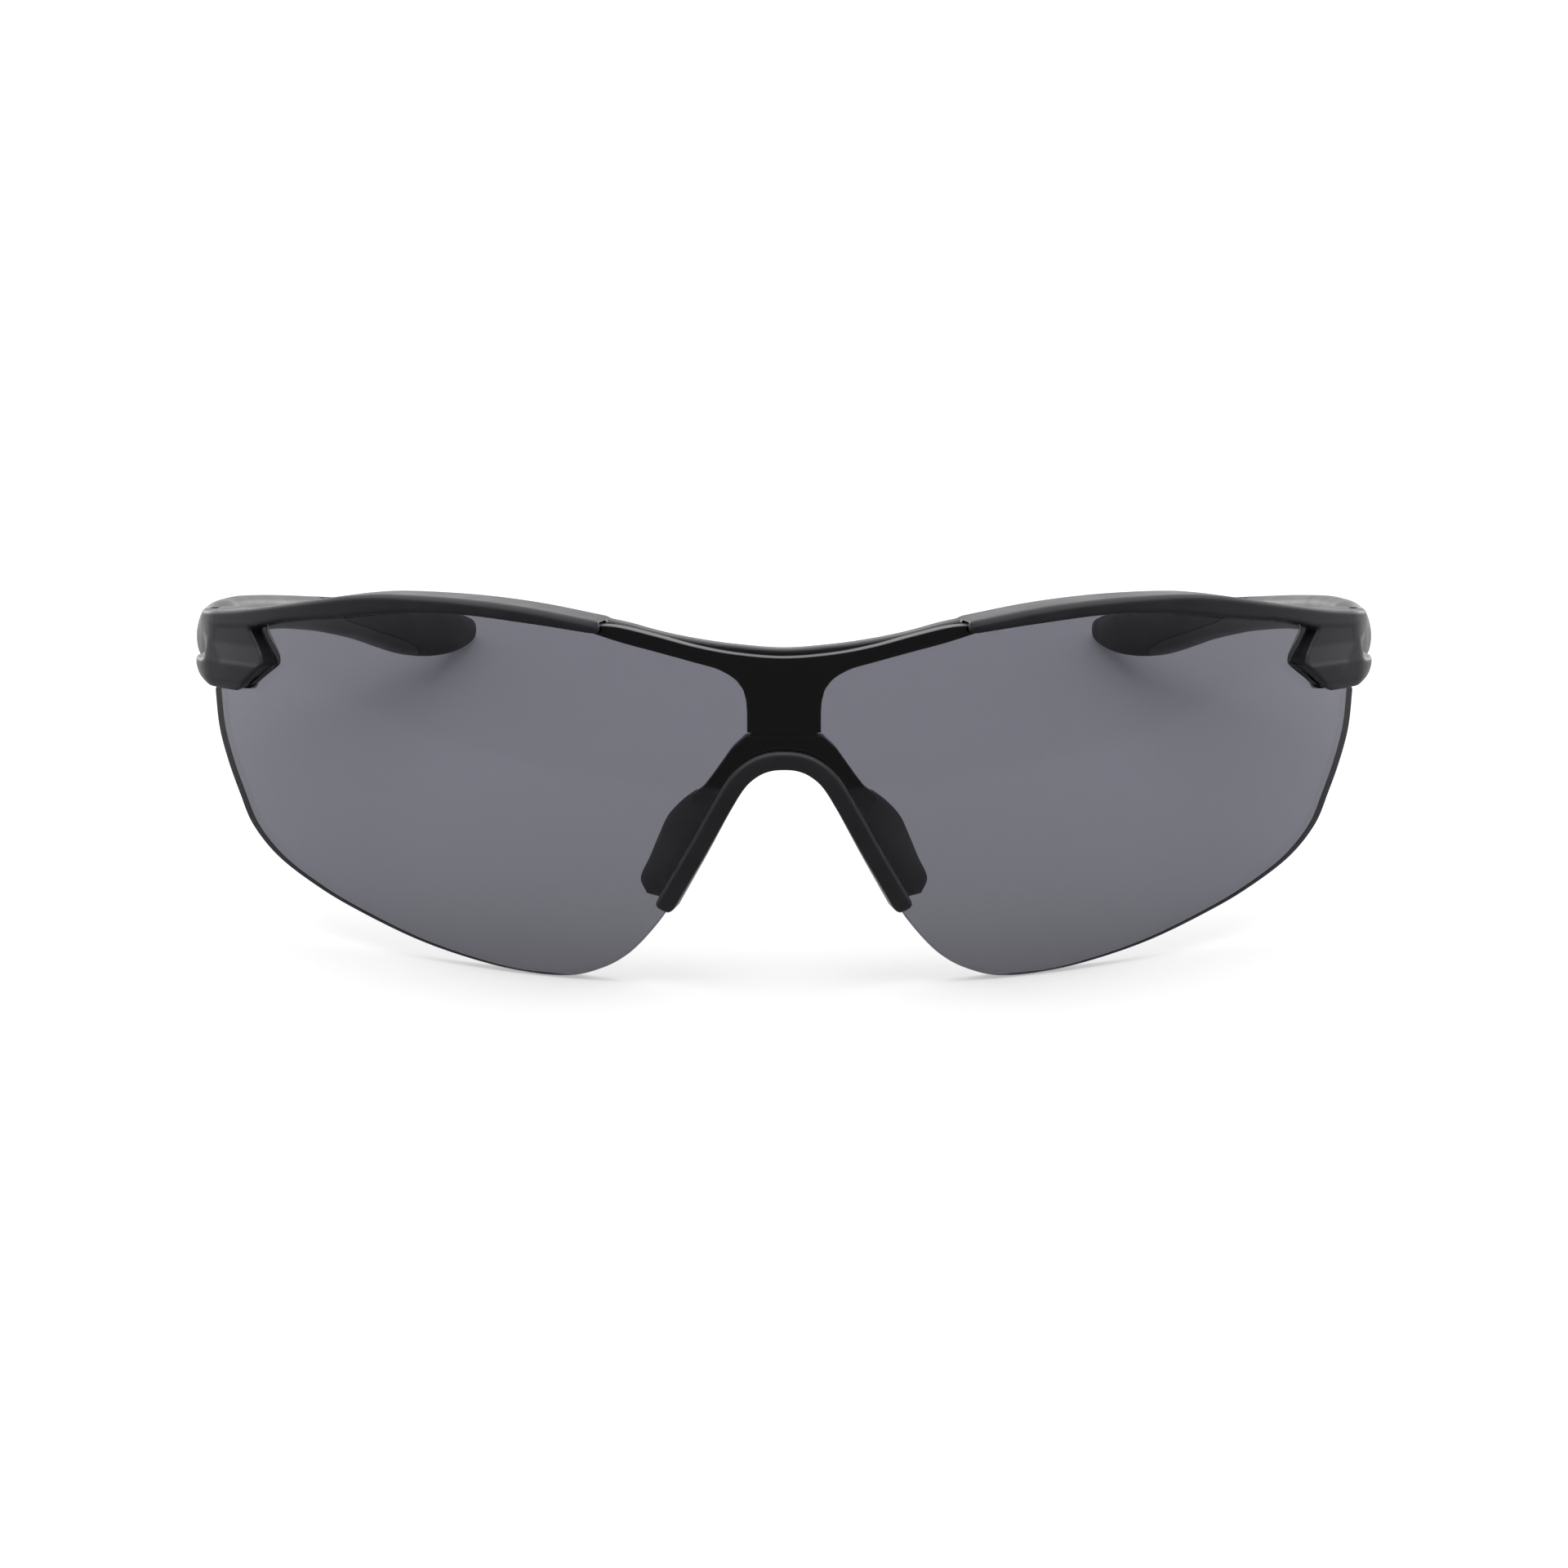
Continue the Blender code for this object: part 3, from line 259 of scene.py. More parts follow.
def wearer_to_world():
    """The matrix from the wearer's frame, in millimetres, to the frame's world, in metres."""
    hinge = next(j for j in frame["joints"] if j["name"] == "left_temple_fold")
    lean = math.atan2(hinge["axis"][1], hinge["axis"][2])
    turn = Matrix.Rotation(-lean, 4, "X")
    place = Vector(hinge["pos_m"]) - turn @ (Vector((HINGE_X, HINGE_Y, HINGE_Z)) * MM)
    return Matrix.Translation(place) @ turn @ Matrix.Scale(MM, 4)


TO_WORLD = wearer_to_world()


# ------ curves and the lens's surface

def catmull_rom(a, b, c, d, t):
    """The point at t, from 0 to 1, between b and c."""
    return 0.5 * (2 * b + (c - a) * t + (2 * a - 5 * b + 4 * c - d) * t ** 2
                  + (3 * b - a - 3 * c + d) * t ** 3)


def curve(points, step):
    """Points about step apart on a smooth (Catmull-Rom) curve through the given points."""
    pts = [Vector(p) for p in points]
    pts = [2 * pts[0] - pts[1]] + pts + [2 * pts[-1] - pts[-2]]
    found = []
    for a, b, c, d in zip(pts, pts[1:], pts[2:], pts[3:]):
        count = max(1, round((c - b).length / step))
        found += [catmull_rom(a, b, c, d, k / count) for k in range(count)]
    return found + [pts[-2]]


def closed_curve(points, count):
    """A smooth closed curve through the points, with this many steps between neighbours."""
    pts = [Vector(p) for p in points]
    total = len(pts)
    found = []
    for i in range(total):
        a, b, c, d = (pts[(i + k - 1) % total] for k in range(4))
        found += [catmull_rom(a, b, c, d, k / count) for k in range(count)]
    return found


def rounded(points, radii, count=5):
    """A closed polygon with its corners rounded, each by an arc of count points."""
    found = []
    for k, p in enumerate(points):
        p = Vector(p)
        to_before = Vector(points[k - 1]) - p
        to_after = Vector(points[(k + 1) % len(points)]) - p
        reach = min(to_before.length, to_after.length) * 0.49
        before = to_before.normalized()
        after = to_after.normalized()
        half = before.angle(after) / 2
        cut = min(reach, radii[k] / math.tan(half))
        radius = cut * math.tan(half)
        centre = p + (before + after).normalized() * (radius / math.sin(half))
        start = p + before * cut - centre
        end = p + after * cut - centre
        for j in range(count):
            ray = start.lerp(end, j / (count - 1))
            found.append(centre + ray.normalized() * radius)
    return found


def smooth_table(rows):
    """Reads rows of (position, value, ...) as a smooth curve: returns a function of the position."""
    path = curve(rows, 0.25)
    at = np.array([p[0] for p in path])
    values = np.array([p[1:] for p in path])
    return lambda x: [float(np.interp(x, at, values[:, k])) for k in range(values.shape[1])]


def unit(value):
    """The value held between 0 and 1."""
    return min(1.0, max(0.0, value))


def both_sides(points):
    """One side's points, from the middle outwards, with their mirror image before them."""
    return [(-x, z) for x, z in reversed(points) if x > 0] + list(points)


def arc_length(x):
    """Distance round the front from the middle to a point this far across."""
    return math.copysign(WRAP_RADIUS * math.asin(min(1.0, abs(x) / WRAP_RADIUS)), x)


def on_lens(s, z, n):
    """The point s round the lens and z up, n proud of its front face."""
    radius = WRAP_RADIUS + n - z * z / (2 * SAG_RADIUS)
    angle = s / WRAP_RADIUS
    return Vector((radius * math.sin(angle), WRAP_RADIUS - radius * math.cos(angle), z))


def on_front(s, z, n):
    """As on_lens, but past the lens it turns the corner and runs straight back."""
    side = math.copysign(1, s)
    s = abs(s)
    bulge = n - z * z / (2 * SAG_RADIUS) * max(0.0, 1 - max(0.0, s - CORNER_START) / CORNER_RADIUS)
    if s <= CORNER_START:
        return on_lens(side * s, z, n)
    if s <= CORNER_END:
        angle = CORNER_ANGLE + (s - CORNER_START) / CORNER_RADIUS
        radius = CORNER_RADIUS + bulge
        x = SIDE_X - CORNER_RADIUS + radius * math.sin(angle)
        y = CORNER_END_Y - radius * math.cos(angle)
    else:
        x = SIDE_X + bulge
        y = CORNER_END_Y + s - CORNER_END
    return Vector((side * x, y, z))


def circle(x, y, radius, count=48, start=0.0, end=2 * math.pi):
    """Points on a circle or, with start and end, on an arc that includes both ends."""
    full = abs(end - start - 2 * math.pi) < 1e-6
    steps = count if full else count - 1
    return [(x + radius * math.cos(start + (end - start) * k / steps),
             y + radius * math.sin(start + (end - start) * k / steps)) for k in range(count)]


# ------ meshes, in millimetres

def add_object(name, data):
    obj = bpy.data.objects.new(name, data)
    bpy.context.scene.collection.objects.link(obj)
    return obj


def object_from(name, bm):
    """Turns the bmesh into an object, with its faces pointing out."""
    bmesh.ops.recalc_face_normals(bm, faces=bm.faces)
    mesh = bpy.data.meshes.new(name)
    bm.to_mesh(mesh)
    bm.free()
    return add_object(name, mesh)


def join_loops(bm, loops):
    """Joins each closed loop of vertices to the next with a band of four-sided faces."""
    for a, b in zip(loops, loops[1:]):
        for k in range(len(a)):
            j = (k + 1) % len(a)
            bm.faces.new((a[k], a[j], b[j], b[k]))


def loft(name, rings):
    """A closed solid through rings of points, each ring with the same number of points."""
    bm = bmesh.new()
    loops = [[bm.verts.new(p) for p in ring] for ring in rings]
    join_loops(bm, loops)
    for loop in (loops[0], loops[-1]):
        middle = bm.verts.new(sum((v.co for v in loop), Vector()) / len(loop))
        for k in range(len(loop)):
            bm.faces.new((loop[k], loop[(k + 1) % len(loop)], middle))
    return object_from(name, bm)


def inset(outline, amount):
    """The closed outline drawn in by an amount, or out by a negative one."""
    area = sum(a.x * b.y - b.x * a.y for a, b in zip(outline, outline[1:] + outline[:1]))
    turn = 1 if area > 0 else -1
    found = []
    for a, b, c in zip(outline[-1:] + outline, outline, outline[1:] + outline[:1]):
        before = (b - a).normalized()
        after = (c - b).normalized()
        inward = Vector((-before.y - after.y, before.x + after.x)).normalized() * turn
        stretch = 1 / max(0.5, abs(inward.dot(Vector((-after.y, after.x)))))
        found.append(b + inward * amount * stretch)
    return found


def slab(name, outline, back, front, bend, radius=0.0, grid=1.0, arcs=4):
    """A flat outline of (along, up) thickened from back to front with rounded edges, gridded and bent.

    back and front are numbers, or functions of (along, up).
    """
    outline = [Vector(p) for p in outline]
    far = 100.0
    levels = [math.pi / 2 * k / arcs for k in range(arcs + 1)] if radius else [0.0]
    profile = [(radius * (1 - math.sin(a)), far - radius * (1 - math.cos(a))) for a in levels]
    profile += [(pull, -level) for pull, level in reversed(profile)]
    bm = bmesh.new()
    loops = []
    for pull, level in profile:
        loops.append([bm.verts.new((p.x, level, p.y)) for p in inset(outline, pull)])
    join_loops(bm, loops)
    bm.faces.new(loops[0])
    bm.faces.new(loops[-1])
    for axis in (0, 2):
        values = [v.co[axis] for v in bm.verts]
        low, high = min(values), max(values)
        count = max(1, round((high - low) / grid))
        normal = Vector((axis == 0, 0, axis == 2))
        for k in range(1, count):
            point = normal * (low + (high - low) * k / count)
            geom = bm.verts[:] + bm.edges[:] + bm.faces[:]
            bmesh.ops.bisect_plane(bm, geom=geom, dist=0.004, plane_co=point, plane_no=normal)
    for vert in bm.verts:
        s, level, z = vert.co
        if level > 0:
            depth = (front(s, z) if callable(front) else front) - (far - level)
        else:
            depth = (back(s, z) if callable(back) else back) + (far + level)
        vert.co = bend(s, z, depth)
    bmesh.ops.triangulate(bm, faces=[f for f in bm.faces if len(f.verts) > 4])
    return object_from(name, bm)


def prism(name, outline, low, high, bevel=0.0):
    """An outline of (x, y) extruded upright, with bevelled ends."""
    outline = [Vector(p) for p in outline]
    layers = [(low, 0), (high, 0)]
    if bevel:
        layers = [(low, bevel), (low + bevel, 0), (high - bevel, 0), (high, bevel)]
    return loft(name, [[Vector((p.x, p.y, z)) for p in inset(outline, pull)] for z, pull in layers])


def box(name, low, high):
    """A block between two opposite corners."""
    outline = [(low[0], low[1]), (high[0], low[1]), (high[0], high[1]), (low[0], high[1])]
    return prism(name, outline, low[2], high[2])


def lathe(name, side, profile, count=64):
    """A turned piece round the hinge axis, from a closed profile of (radius, up)."""
    bm = bmesh.new()
    loops = []
    for x, y in circle(0, 0, 1.0, count):
        loops.append([bm.verts.new((side * HINGE_X + x * r, HINGE_Y + y * r, z)) for r, z in profile])
    for k in range(count):
        a, b = loops[k], loops[(k + 1) % count]
        for i in range(len(profile)):
            j = (i + 1) % len(profile)
            bm.faces.new((a[i], a[j], b[j], b[i]))
    bmesh.ops.remove_doubles(bm, verts=bm.verts, dist=1e-5)
    return object_from(name, bm)


def apply_modifiers(obj):
    """Bakes the object's modifiers into its mesh."""
    graph = bpy.context.evaluated_depsgraph_get()
    graph.update()
    old = obj.data
    obj.data = bpy.data.meshes.new_from_object(obj.evaluated_get(graph))
    obj.modifiers.clear()
    bpy.data.meshes.remove(old)
    return obj


def cut(obj, *cutters, operation="DIFFERENCE"):
    """Cuts the other objects from this one, or with UNION adds them, and removes them."""
    for other in cutters:
        modifier = obj.modifiers.new(other.name, "BOOLEAN")
        modifier.operation = operation
        modifier.object = other
        modifier.solver = "MANIFOLD"
    apply_modifiers(obj)
    for other in cutters:
        bpy.data.objects.remove(other)
    return obj


def merge(name, pieces):
    """Joins closed shells that overlap into one object of several shells."""
    bm = bmesh.new()
    for piece in pieces:
        bm.from_mesh(piece.data)
        bpy.data.objects.remove(piece)
    return object_from(name, bm)


def remesh(obj, rounds):
    """Makes one even skin of the object's shells, with its edges softened by rounds of smoothing."""
    modifier = obj.modifiers.new("skin", "REMESH")
    modifier.mode = "VOXEL"
    modifier.voxel_size = VOXEL
    modifier = obj.modifiers.new("soften", "SMOOTH")
    modifier.factor = 0.5
    modifier.iterations = rounds
    return apply_modifiers(obj)


def place(obj, name, body, finish, nodes=None, sharp=40):
    obj.name = name
    mesh = obj.data
    count = len(mesh.vertices)
    points = np.empty(count * 3, np.float32)
    mesh.vertices.foreach_get("co", points)
    matrix = np.array(TO_WORLD)
    points = points.reshape(-1, 3) @ matrix[:3, :3].T + matrix[:3, 3]
    points[:, 2] = np.maximum(points[:, 2], 0.0)
    mesh.vertices.foreach_set("co", points.astype(np.float32).reshape(-1))
    mesh.update()
    mesh.shade_smooth()
    if sharp:
        mesh.set_sharp_from_angle(angle=math.radians(sharp))
    material, slot = finish
    mesh.materials.clear()
    mesh.materials.append(material)
    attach(obj, body)
    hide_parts(*(nodes or [name]))
    return obj


# ------ lens

def round_corners(loop, corners, radius):
    """Rounds the listed corners of a closed outline, which are its sharp ones."""
    found = []
    for k, p in enumerate(loop):
        if k not in corners:
            found.append(p)
            continue
        before = loop[k - 1] - p
        after = loop[(k + 1) % len(loop)] - p
        reach = min(radius, before.length * 0.45, after.length * 0.45)
        start = p + before.normalized() * reach
        end = p + after.normalized() * reach
        for j in range(6):
            t = j / 5
            found.append(start * (1 - t) ** 2 + p * 2 * t * (1 - t) + end * t ** 2)
    return found


def lens_outline(step, corner=0.8):
    """The closed outline of the shield, as (arc length, up)."""
    top = curve(both_sides(LENS_TOP), step)
    bottom = curve(both_sides(LENS_BOTTOM), step)
    notch = [Vector(p) for p in LENS_NOTCH]
    mirrored = [Vector((-p.x, p.y)) for p in reversed(notch)]
    first = len(top)
    second = first + len(notch) + len(bottom)
    loop = [Vector((arc_length(p.x), p.y)) for p in top + notch + bottom[::-1] + mirrored]
    corners = set(range(first, first + len(notch))) | set(range(second, second + len(notch)))
    return round_corners(loop, corners, corner)


def make_lens():
    return slab("lens", lens_outline(0.5), -LENS_THICKNESS, 0.0, on_lens, LENS_EDGE_ROUND, 1.5)


def lens_groove(name):
    """Cuts a seat for the lens, a clearance larger all round."""
    outline = inset([Vector(p) for p in lens_outline(0.8, 0.5)], -CLEARANCE)
    return slab(name, outline, -LENS_THICKNESS - CLEARANCE, CLEARANCE, on_lens, 0.0, 2.0)


def frost_rim(lens, material):
    """Gives the lens's cut edge its own satin finish, because no face but the rim looks along the lens."""
    lens.data.materials.append(material)
    for face in lens.data.polygons:
        middle = TO_WORLD.inverted() @ face.center
        straight = Vector((middle.x, middle.y - WRAP_RADIUS, 0)).normalized()
        normal = (TO_WORLD.to_3x3().inverted() @ face.normal).normalized()
        bulge = Vector((straight.x, straight.y, middle.z / SAG_RADIUS)).normalized()
        face.material_index = int(abs(normal.dot(bulge)) < RIM_COSINE)


# ------ front frame

brow_top_at = smooth_table(BROW_TOP)
brow_bottom_at = smooth_table(BROW_BOTTOM)
BROW_END_X, BROW_END_Z = BROW_TOP[-1]
FRONT_END_S = CORNER_END + FRONT_END_Y - CORNER_END_Y + 1


def brow_profile(s):
    """Top, bottom, front, back and the front's top chamfer (across, down) at a station of one brow arm."""
    x = min(BROW_END_X, WRAP_RADIUS * math.sin(min(s, CORNER_START) / WRAP_RADIUS))
    top = brow_top_at(x)[0]
    bottom = brow_bottom_at(x)[0]
    eased = unit((s - arc_length(BROW_END_X)) / BROW_EASE)
    top += (HINGE_TOP_Z - BROW_END_Z) * eased
    taper_start, taper_end = BROW_TAPER_S
    outward = unit((s - taper_start) / (taper_end - taper_start))
    front = BROW_FRONT - BROW_EASE_DEPTH * eased
    back = BROW_BACK - BROW_TAPER_DEPTH * (1 - outward)
    return top, bottom, front, back, CHAMFER_ACROSS, CHAMFER_DOWN - CHAMFER_FLATTENS * outward


def make_brow_arm(side):
    """From the end of the exposed lens edge out to the hinge, over the lens's top edge."""
    start = arc_length(FLANGE_START_X)
    stations = [start + FLANGE_ROUND * (1 - math.cos(math.pi / 2 * k / 6)) for k in range(6)]
    stations += list(np.linspace(start + FLANGE_ROUND, FRONT_END_S, 180))
    rings = []
    for s in stations:
        top, bottom, front, back, across, down = brow_profile(s)
        near = max(0.0, FLANGE_ROUND - (s - start))
        pull = FLANGE_ROUND - math.sqrt(max(0.0, FLANGE_ROUND ** 2 - near ** 2))
        front -= pull
        top -= 0.5 * pull
        bottom += 0.6 * pull
        corners = [(back, bottom), (back, top), (front - across, top), (front, top - down), (front, bottom)]
        section = rounded(corners, BROW_RADII)
        rings.append([on_front(side * s, p.y, p.x) for p in section])
    return loft("brow_arm", rings)


def read_table(table, z):
    """Reads (up, proud) rows with straight lines between them."""
    return float(np.interp(z, [row[0] for row in table], [row[1] for row in table]))


def endpiece_front(s, z):
    """How proud the endpiece's face is: a scoop next to the notch, an upright pillar and a waisted side."""
    s = abs(s)
    crease = SCOOP_EDGE_S + SCOOP_EDGE_LEAN * (z - SCOOP_EDGE_Z)
    past_scoop = unit((s - crease) / SCOOP_FADE)
    past_pillar = unit((s - PILLAR_S) / PILLAR_FADE)
    past_pillar = past_pillar ** 2 * (3 - 2 * past_pillar)
    face = read_table(SCOOP, z) * (1 - past_scoop) + read_table(PILLAR, z) * past_scoop
    return face * (1 - past_pillar) + read_table(SIDE, z) * past_pillar


def endpiece_back(s, z):
    """How deep the endpiece goes: it thins towards the lens's notch, which shows nothing behind it."""
    across, up = zip(*BOSS_EDGE[4:0:-1])
    edge = arc_length(float(np.interp(z, up, across)))
    return max(BROW_BACK + CLEARANCE, NOTCH_BACK - NOTCH_BACK_SLOPE * max(0.0, abs(s) - edge))


def endpiece_outline(side):
    corner_x, corner_z = BOSS_EDGE[-1]
    low = curve([(arc_length(corner_x), corner_z), *ENDPIECE_LOW, (FRONT_END_S, HINGE_LOW_Z)], 1.0)
    edge = curve([(arc_length(x), z) for x, z in BOSS_EDGE[1:3]], 0.6)[:-1]
    edge += curve([(arc_length(x), z) for x, z in BOSS_EDGE[3:5]], 0.6)
    outline = [(arc_length(BOSS_EDGE[0][0]), BOSS_EDGE[0][1])] + [tuple(p) for p in edge]
    outline += [(arc_length(x), z) for x, z in BOSS_EDGE[5:]]
    outline += [(p.x, p.y) for p in low[1:]] + [(FRONT_END_S, ENDPIECE_TOP_Z)]
    return [(side * s, z) for s, z in outline]


def make_endpiece(side):
    """The block that carries the hinge, with the boss that fills the lens's notch."""
    return slab("endpiece", endpiece_outline(side), endpiece_back, endpiece_front, on_front, 0.3, 0.25)


def make_bridge_bar():
    """The bar behind the lens between the two brow arms, with the post that drops to the nose clip."""
    right = curve(BAR_BOTTOM[:-1], 1.0) + [Vector(BAR_BOTTOM[-1])]
    low = right + [Vector((-p.x, p.y)) for p in reversed(right)]
    top = curve(both_sides(BAR_TOP), 1.0)
    outline = [(arc_length(p.x), p.y) for p in top + low]
    bar = slab("bridge_bar", outline, BRIDGE_BAR_BACK, BRIDGE_BAR_FRONT, on_lens, 0.4, 1.0)
    half = TONGUE_HALF_WIDTH
    root = POST_BOTTOM + 1
    tongue = [(-half, TONGUE_BOTTOM), (half, TONGUE_BOTTOM), (half, root), (-half, root)]
    return [bar, slab("post_tongue", tongue, *TONGUE_DEPTH, on_lens, 0.2, 1.0)]


def hinge_lug(name, side, low, high, to_front):
    """A lug round the hinge axis: a half circle with a web to the front, or to the temple behind."""
    reach = FRONT_END_Y - LUG_ROOT if to_front else HINGE_Y + KNUCKLE_ROOT
    sweep = (0.0, math.pi) if to_front else (math.pi, 2 * math.pi)
    outline = circle(HINGE_X, HINGE_Y, KNUCKLE_RADIUS, 32, *sweep)
    far = outline[-1][0]
    outline += [(far, reach), (outline[0][0], reach)]
    return prism(name, [(side * x, y) for x, y in outline], low, high, LUG_BEVEL)


def axis_pin(name, side, radius, low, high):
    """A round cutter on the hinge axis."""
    return prism(name, [(side * x, y) for x, y in circle(HINGE_X, HINGE_Y, radius)], low, high)


def make_front_frame():
    parts = make_bridge_bar()
    for side in (1, -1):
        parts += [make_brow_arm(side), make_endpiece(side)]
    frame_body = remesh(merge("front_frame", parts), 1)
    trims = [box("end_trim", (low, FRONT_END_Y, 0), (high, 50, 25)) for low, high in ((55, 80), (-80, -55))]
    cut(frame_body, *trims, lens_groove("groove"))
    lugs = [hinge_lug("lug", side, *lug, True) for side in (1, -1) for lug in (TOP_LUG, BOTTOM_LUG)]
    frame_body = remesh(merge("front_frame", [frame_body] + lugs), 1)
    seat_top = BOTTOM_LUG[0] + SCREW_HEAD_HEIGHT + POCKET_GAP
    pocket = (TOP_LUG[0] - 0.5, TOP_LUG[1] - INSERT_TOP_GAP - POCKET_GAP)
    holes = []
    for side in (1, -1):
        holes += [axis_pin("screw_hole", side, SCREW_HOLE_RADIUS, BELOW_HINGE, SCREW_HOLE_TOP),
                  axis_pin("screw_seat", side, SCREW_HEAD_RADIUS + HEAD_GAP, BELOW_HINGE, seat_top),
                  axis_pin("insert_pocket", side, INSERT_RADIUS + POCKET_GAP, *pocket)]
    return cut(frame_body, *holes)


# ------ nose bridge and pads

def clip_rings(path, section):
    """Rings of a section of (into the lens, proud) carried along a path drawn on the lens."""
    rings = []
    for k, p in enumerate(path):
        a = path[max(0, k - 1)]
        b = path[min(len(path) - 1, k + 1)]
        tangent = (b - a).normalized()
        into = Vector((tangent.y, -tangent.x))
        ring = []
        for w, n in section:
            q = p + into * w
            ring.append(on_lens(arc_length(q.x), q.y, n))
        rings.append(ring)
    return rings


PAD = {"front": 0.0, "back": 1.0, "thick": 1.0, "grow": 0.0, "stations": range(7)}
WING = {"front": -0.18, "back": 0.66, "thick": 0.0, "grow": WING_GROW, "stations": range(2, 6)}
WING_POCKET = {"front": -0.4, "back": 0.74, "thick": 0.0, "grow": WING_GROW + CLEARANCE,
               "stations": range(2, 6)}


def pad_rings(side, form, count, steps):
    """Oval sections from the clip's back out to the wing's edge, with steps rings between stations."""
    rows = []
    for index in form["stations"]:
        (fx, fz), back, thick = PAD_STATIONS[index]
        near = on_lens(arc_length(fx), fz, PAD_START)
        far = Vector(back)
        start = near.lerp(far, form["front"])
        end = near.lerp(far, form["back"])
        rows.append((*start, *end, thick * form["thick"] / 2 + form["grow"]))
    down = (Vector(rows[-1][:3]) - Vector(rows[0][:3])).normalized()
    rings = []
    table = [Vector(row) for row in dense_rows(rows, steps)]
    for k, row in enumerate(table):
        start, end, half = Vector(row[:3]), Vector(row[3:6]), row[6]
        length = (end - start).length / 2
        ahead = (end - start).normalized()
        across = down.cross(ahead).normalized()
        middle = (start + end) / 2
        if form is WING_POCKET and k in (0, len(table) - 1):
            middle = middle + down * (CLEARANCE if k else -CLEARANCE)
        ring = []
        for j in range(count):
            angle = 2 * math.pi * j / count
            c, s = math.cos(angle), math.sin(angle)
            round_off = (abs(c) ** 3 + abs(s) ** 3) ** (-1 / 3)
            p = middle + ahead * length * c * round_off + across * half * s * round_off
            ring.append(Vector((side * p.x, p.y, p.z)))
        rings.append(ring)
    return rings


def dense_rows(rows, steps):
    """Catmull-Rom rows between the given ones, steps to each gap."""
    pts = [np.array(row, float) for row in rows]
    pts = [2 * pts[0] - pts[1]] + pts + [2 * pts[-1] - pts[-2]]
    found = []
    for a, b, c, d in zip(pts, pts[1:], pts[2:], pts[3:]):
        found += [catmull_rom(a, b, c, d, k / steps) for k in range(steps)]
    return found + [pts[-2]]


def make_nose_bridge():
    """A channel that grips the nose cut-out's edge, a web behind the lens and a wing into each pad."""
    path = curve(both_sides(CLIP_PATH), 0.5)[::-1]
    rings = clip_rings(path, rounded(CLIP_SECTION, CLIP_RADII, 4))
    ends = []
    for ring in (rings[0], rings[-1]):
        middle = sum(ring, Vector()) / len(ring)
        down = Vector((math.copysign(0.55, middle.x), 0.05, -0.8))
        ends.append([[middle + (p - middle) * part + down * reach for p in ring]
                     for part, reach in CLIP_END])
    shells = [loft("clip", ends[0][::-1] + rings + ends[1])]
    right = [Vector(p) for p in WEB_OUTER]
    inner = [p for p in curve(CLIP_PATH, 0.8) if p.y > WEB_LOW_Z]
    outer = [Vector((-p.x, p.y)) for p in reversed(right)] + right
    loop = inner[::-1] + [Vector((-p.x, p.y)) for p in inner[1:]]
    outline = [(arc_length(p.x), p.y) for p in outer + loop]
    shells.append(slab("web", outline, WEB_BACK, WEB_FRONT, on_lens, 0.3, 1.0))
    for side in (1, -1):
        lip = [(side * arc_length(x), z) for x, z in LIP]
        shells.append(slab("lip", lip, LIP_BACK, WEB_FRONT, on_lens, 0.25, 1.0))
        shells.append(loft("wing", pad_rings(side, WING, 32, 6)))
    bridge = remesh(merge("nose_bridge", shells), 3)
    half = TONGUE_HALF_WIDTH + CLEARANCE
    low = TONGUE_BOTTOM - CLEARANCE
    slot = [(-half, low), (half, low), (half, 8), (-half, 8)]
    back, front = TONGUE_DEPTH
    cut(bridge, lens_groove("clip_groove"),
        slab("tongue_slot", slot, back - CLEARANCE, front + CLEARANCE, on_lens, 0.0, 2.0))
    return remesh(bridge, 1)


def make_nose_pad(side):
    rings = pad_rings(side, PAD, 64, 10)
    pad = loft("pad", rings)
    round_ends(pad, rings)
    return cut(pad, loft("pad_pocket", pad_rings(side, WING_POCKET, 32, 6)))


def round_ends(obj, rings):
    """Domes the two flat ends of a loft by moving their middle points outwards."""
    mesh = obj.data
    total = len(mesh.vertices)
    for index, ring, inner in ((total - 2, rings[0], rings[1]), (total - 1, rings[-1], rings[-2])):
        centre = sum(ring, Vector()) / len(ring)
        towards = centre - sum(inner, Vector()) / len(inner)
        mesh.vertices[index].co = centre + towards.normalized() * PAD_DOME


# ------ temples

temple_at = smooth_table(TEMPLE_STATIONS)


def temple_section(y):
    start, end = HINGE_SECTION_Y
    past = unit((y - start) / (end - start))
    return [Vector(a).lerp(Vector(b), past) for a, b in zip(HINGE_SECTION, SECTION)]


def temple_ring(y, side, thick=None, outer=None):
    """One ring across the temple, square to its outer face."""
    low, high = TEMPLE_STATIONS[0][0], TEMPLE_STATIONS[-1][0]
    at = min(high, max(low, y))
    face, full, top, bottom = temple_at(at)
    ahead = temple_at(min(high, at + 1))[0]
    behind = temple_at(max(low, at - 1))[0]
    slope = (ahead - behind) / (min(high, at + 1) - max(low, at - 1))
    outer = face if outer is None else outer
    thick = full if thick is None else thick
    ring = []
    for p in closed_curve(temple_section(y), 4):
        depth = p.x * thick
        ring.append(Vector((side * (outer - depth), y + slope * depth, bottom + p.y * (top - bottom))))
    return ring


def core_line(y):
    """The line of the temple's core, a little above the middle of its section."""
    outer, thick, top, bottom = temple_at(y)
    return Vector((outer - thick / 2, y, (top + bottom) / 2 + CORE_RISE))


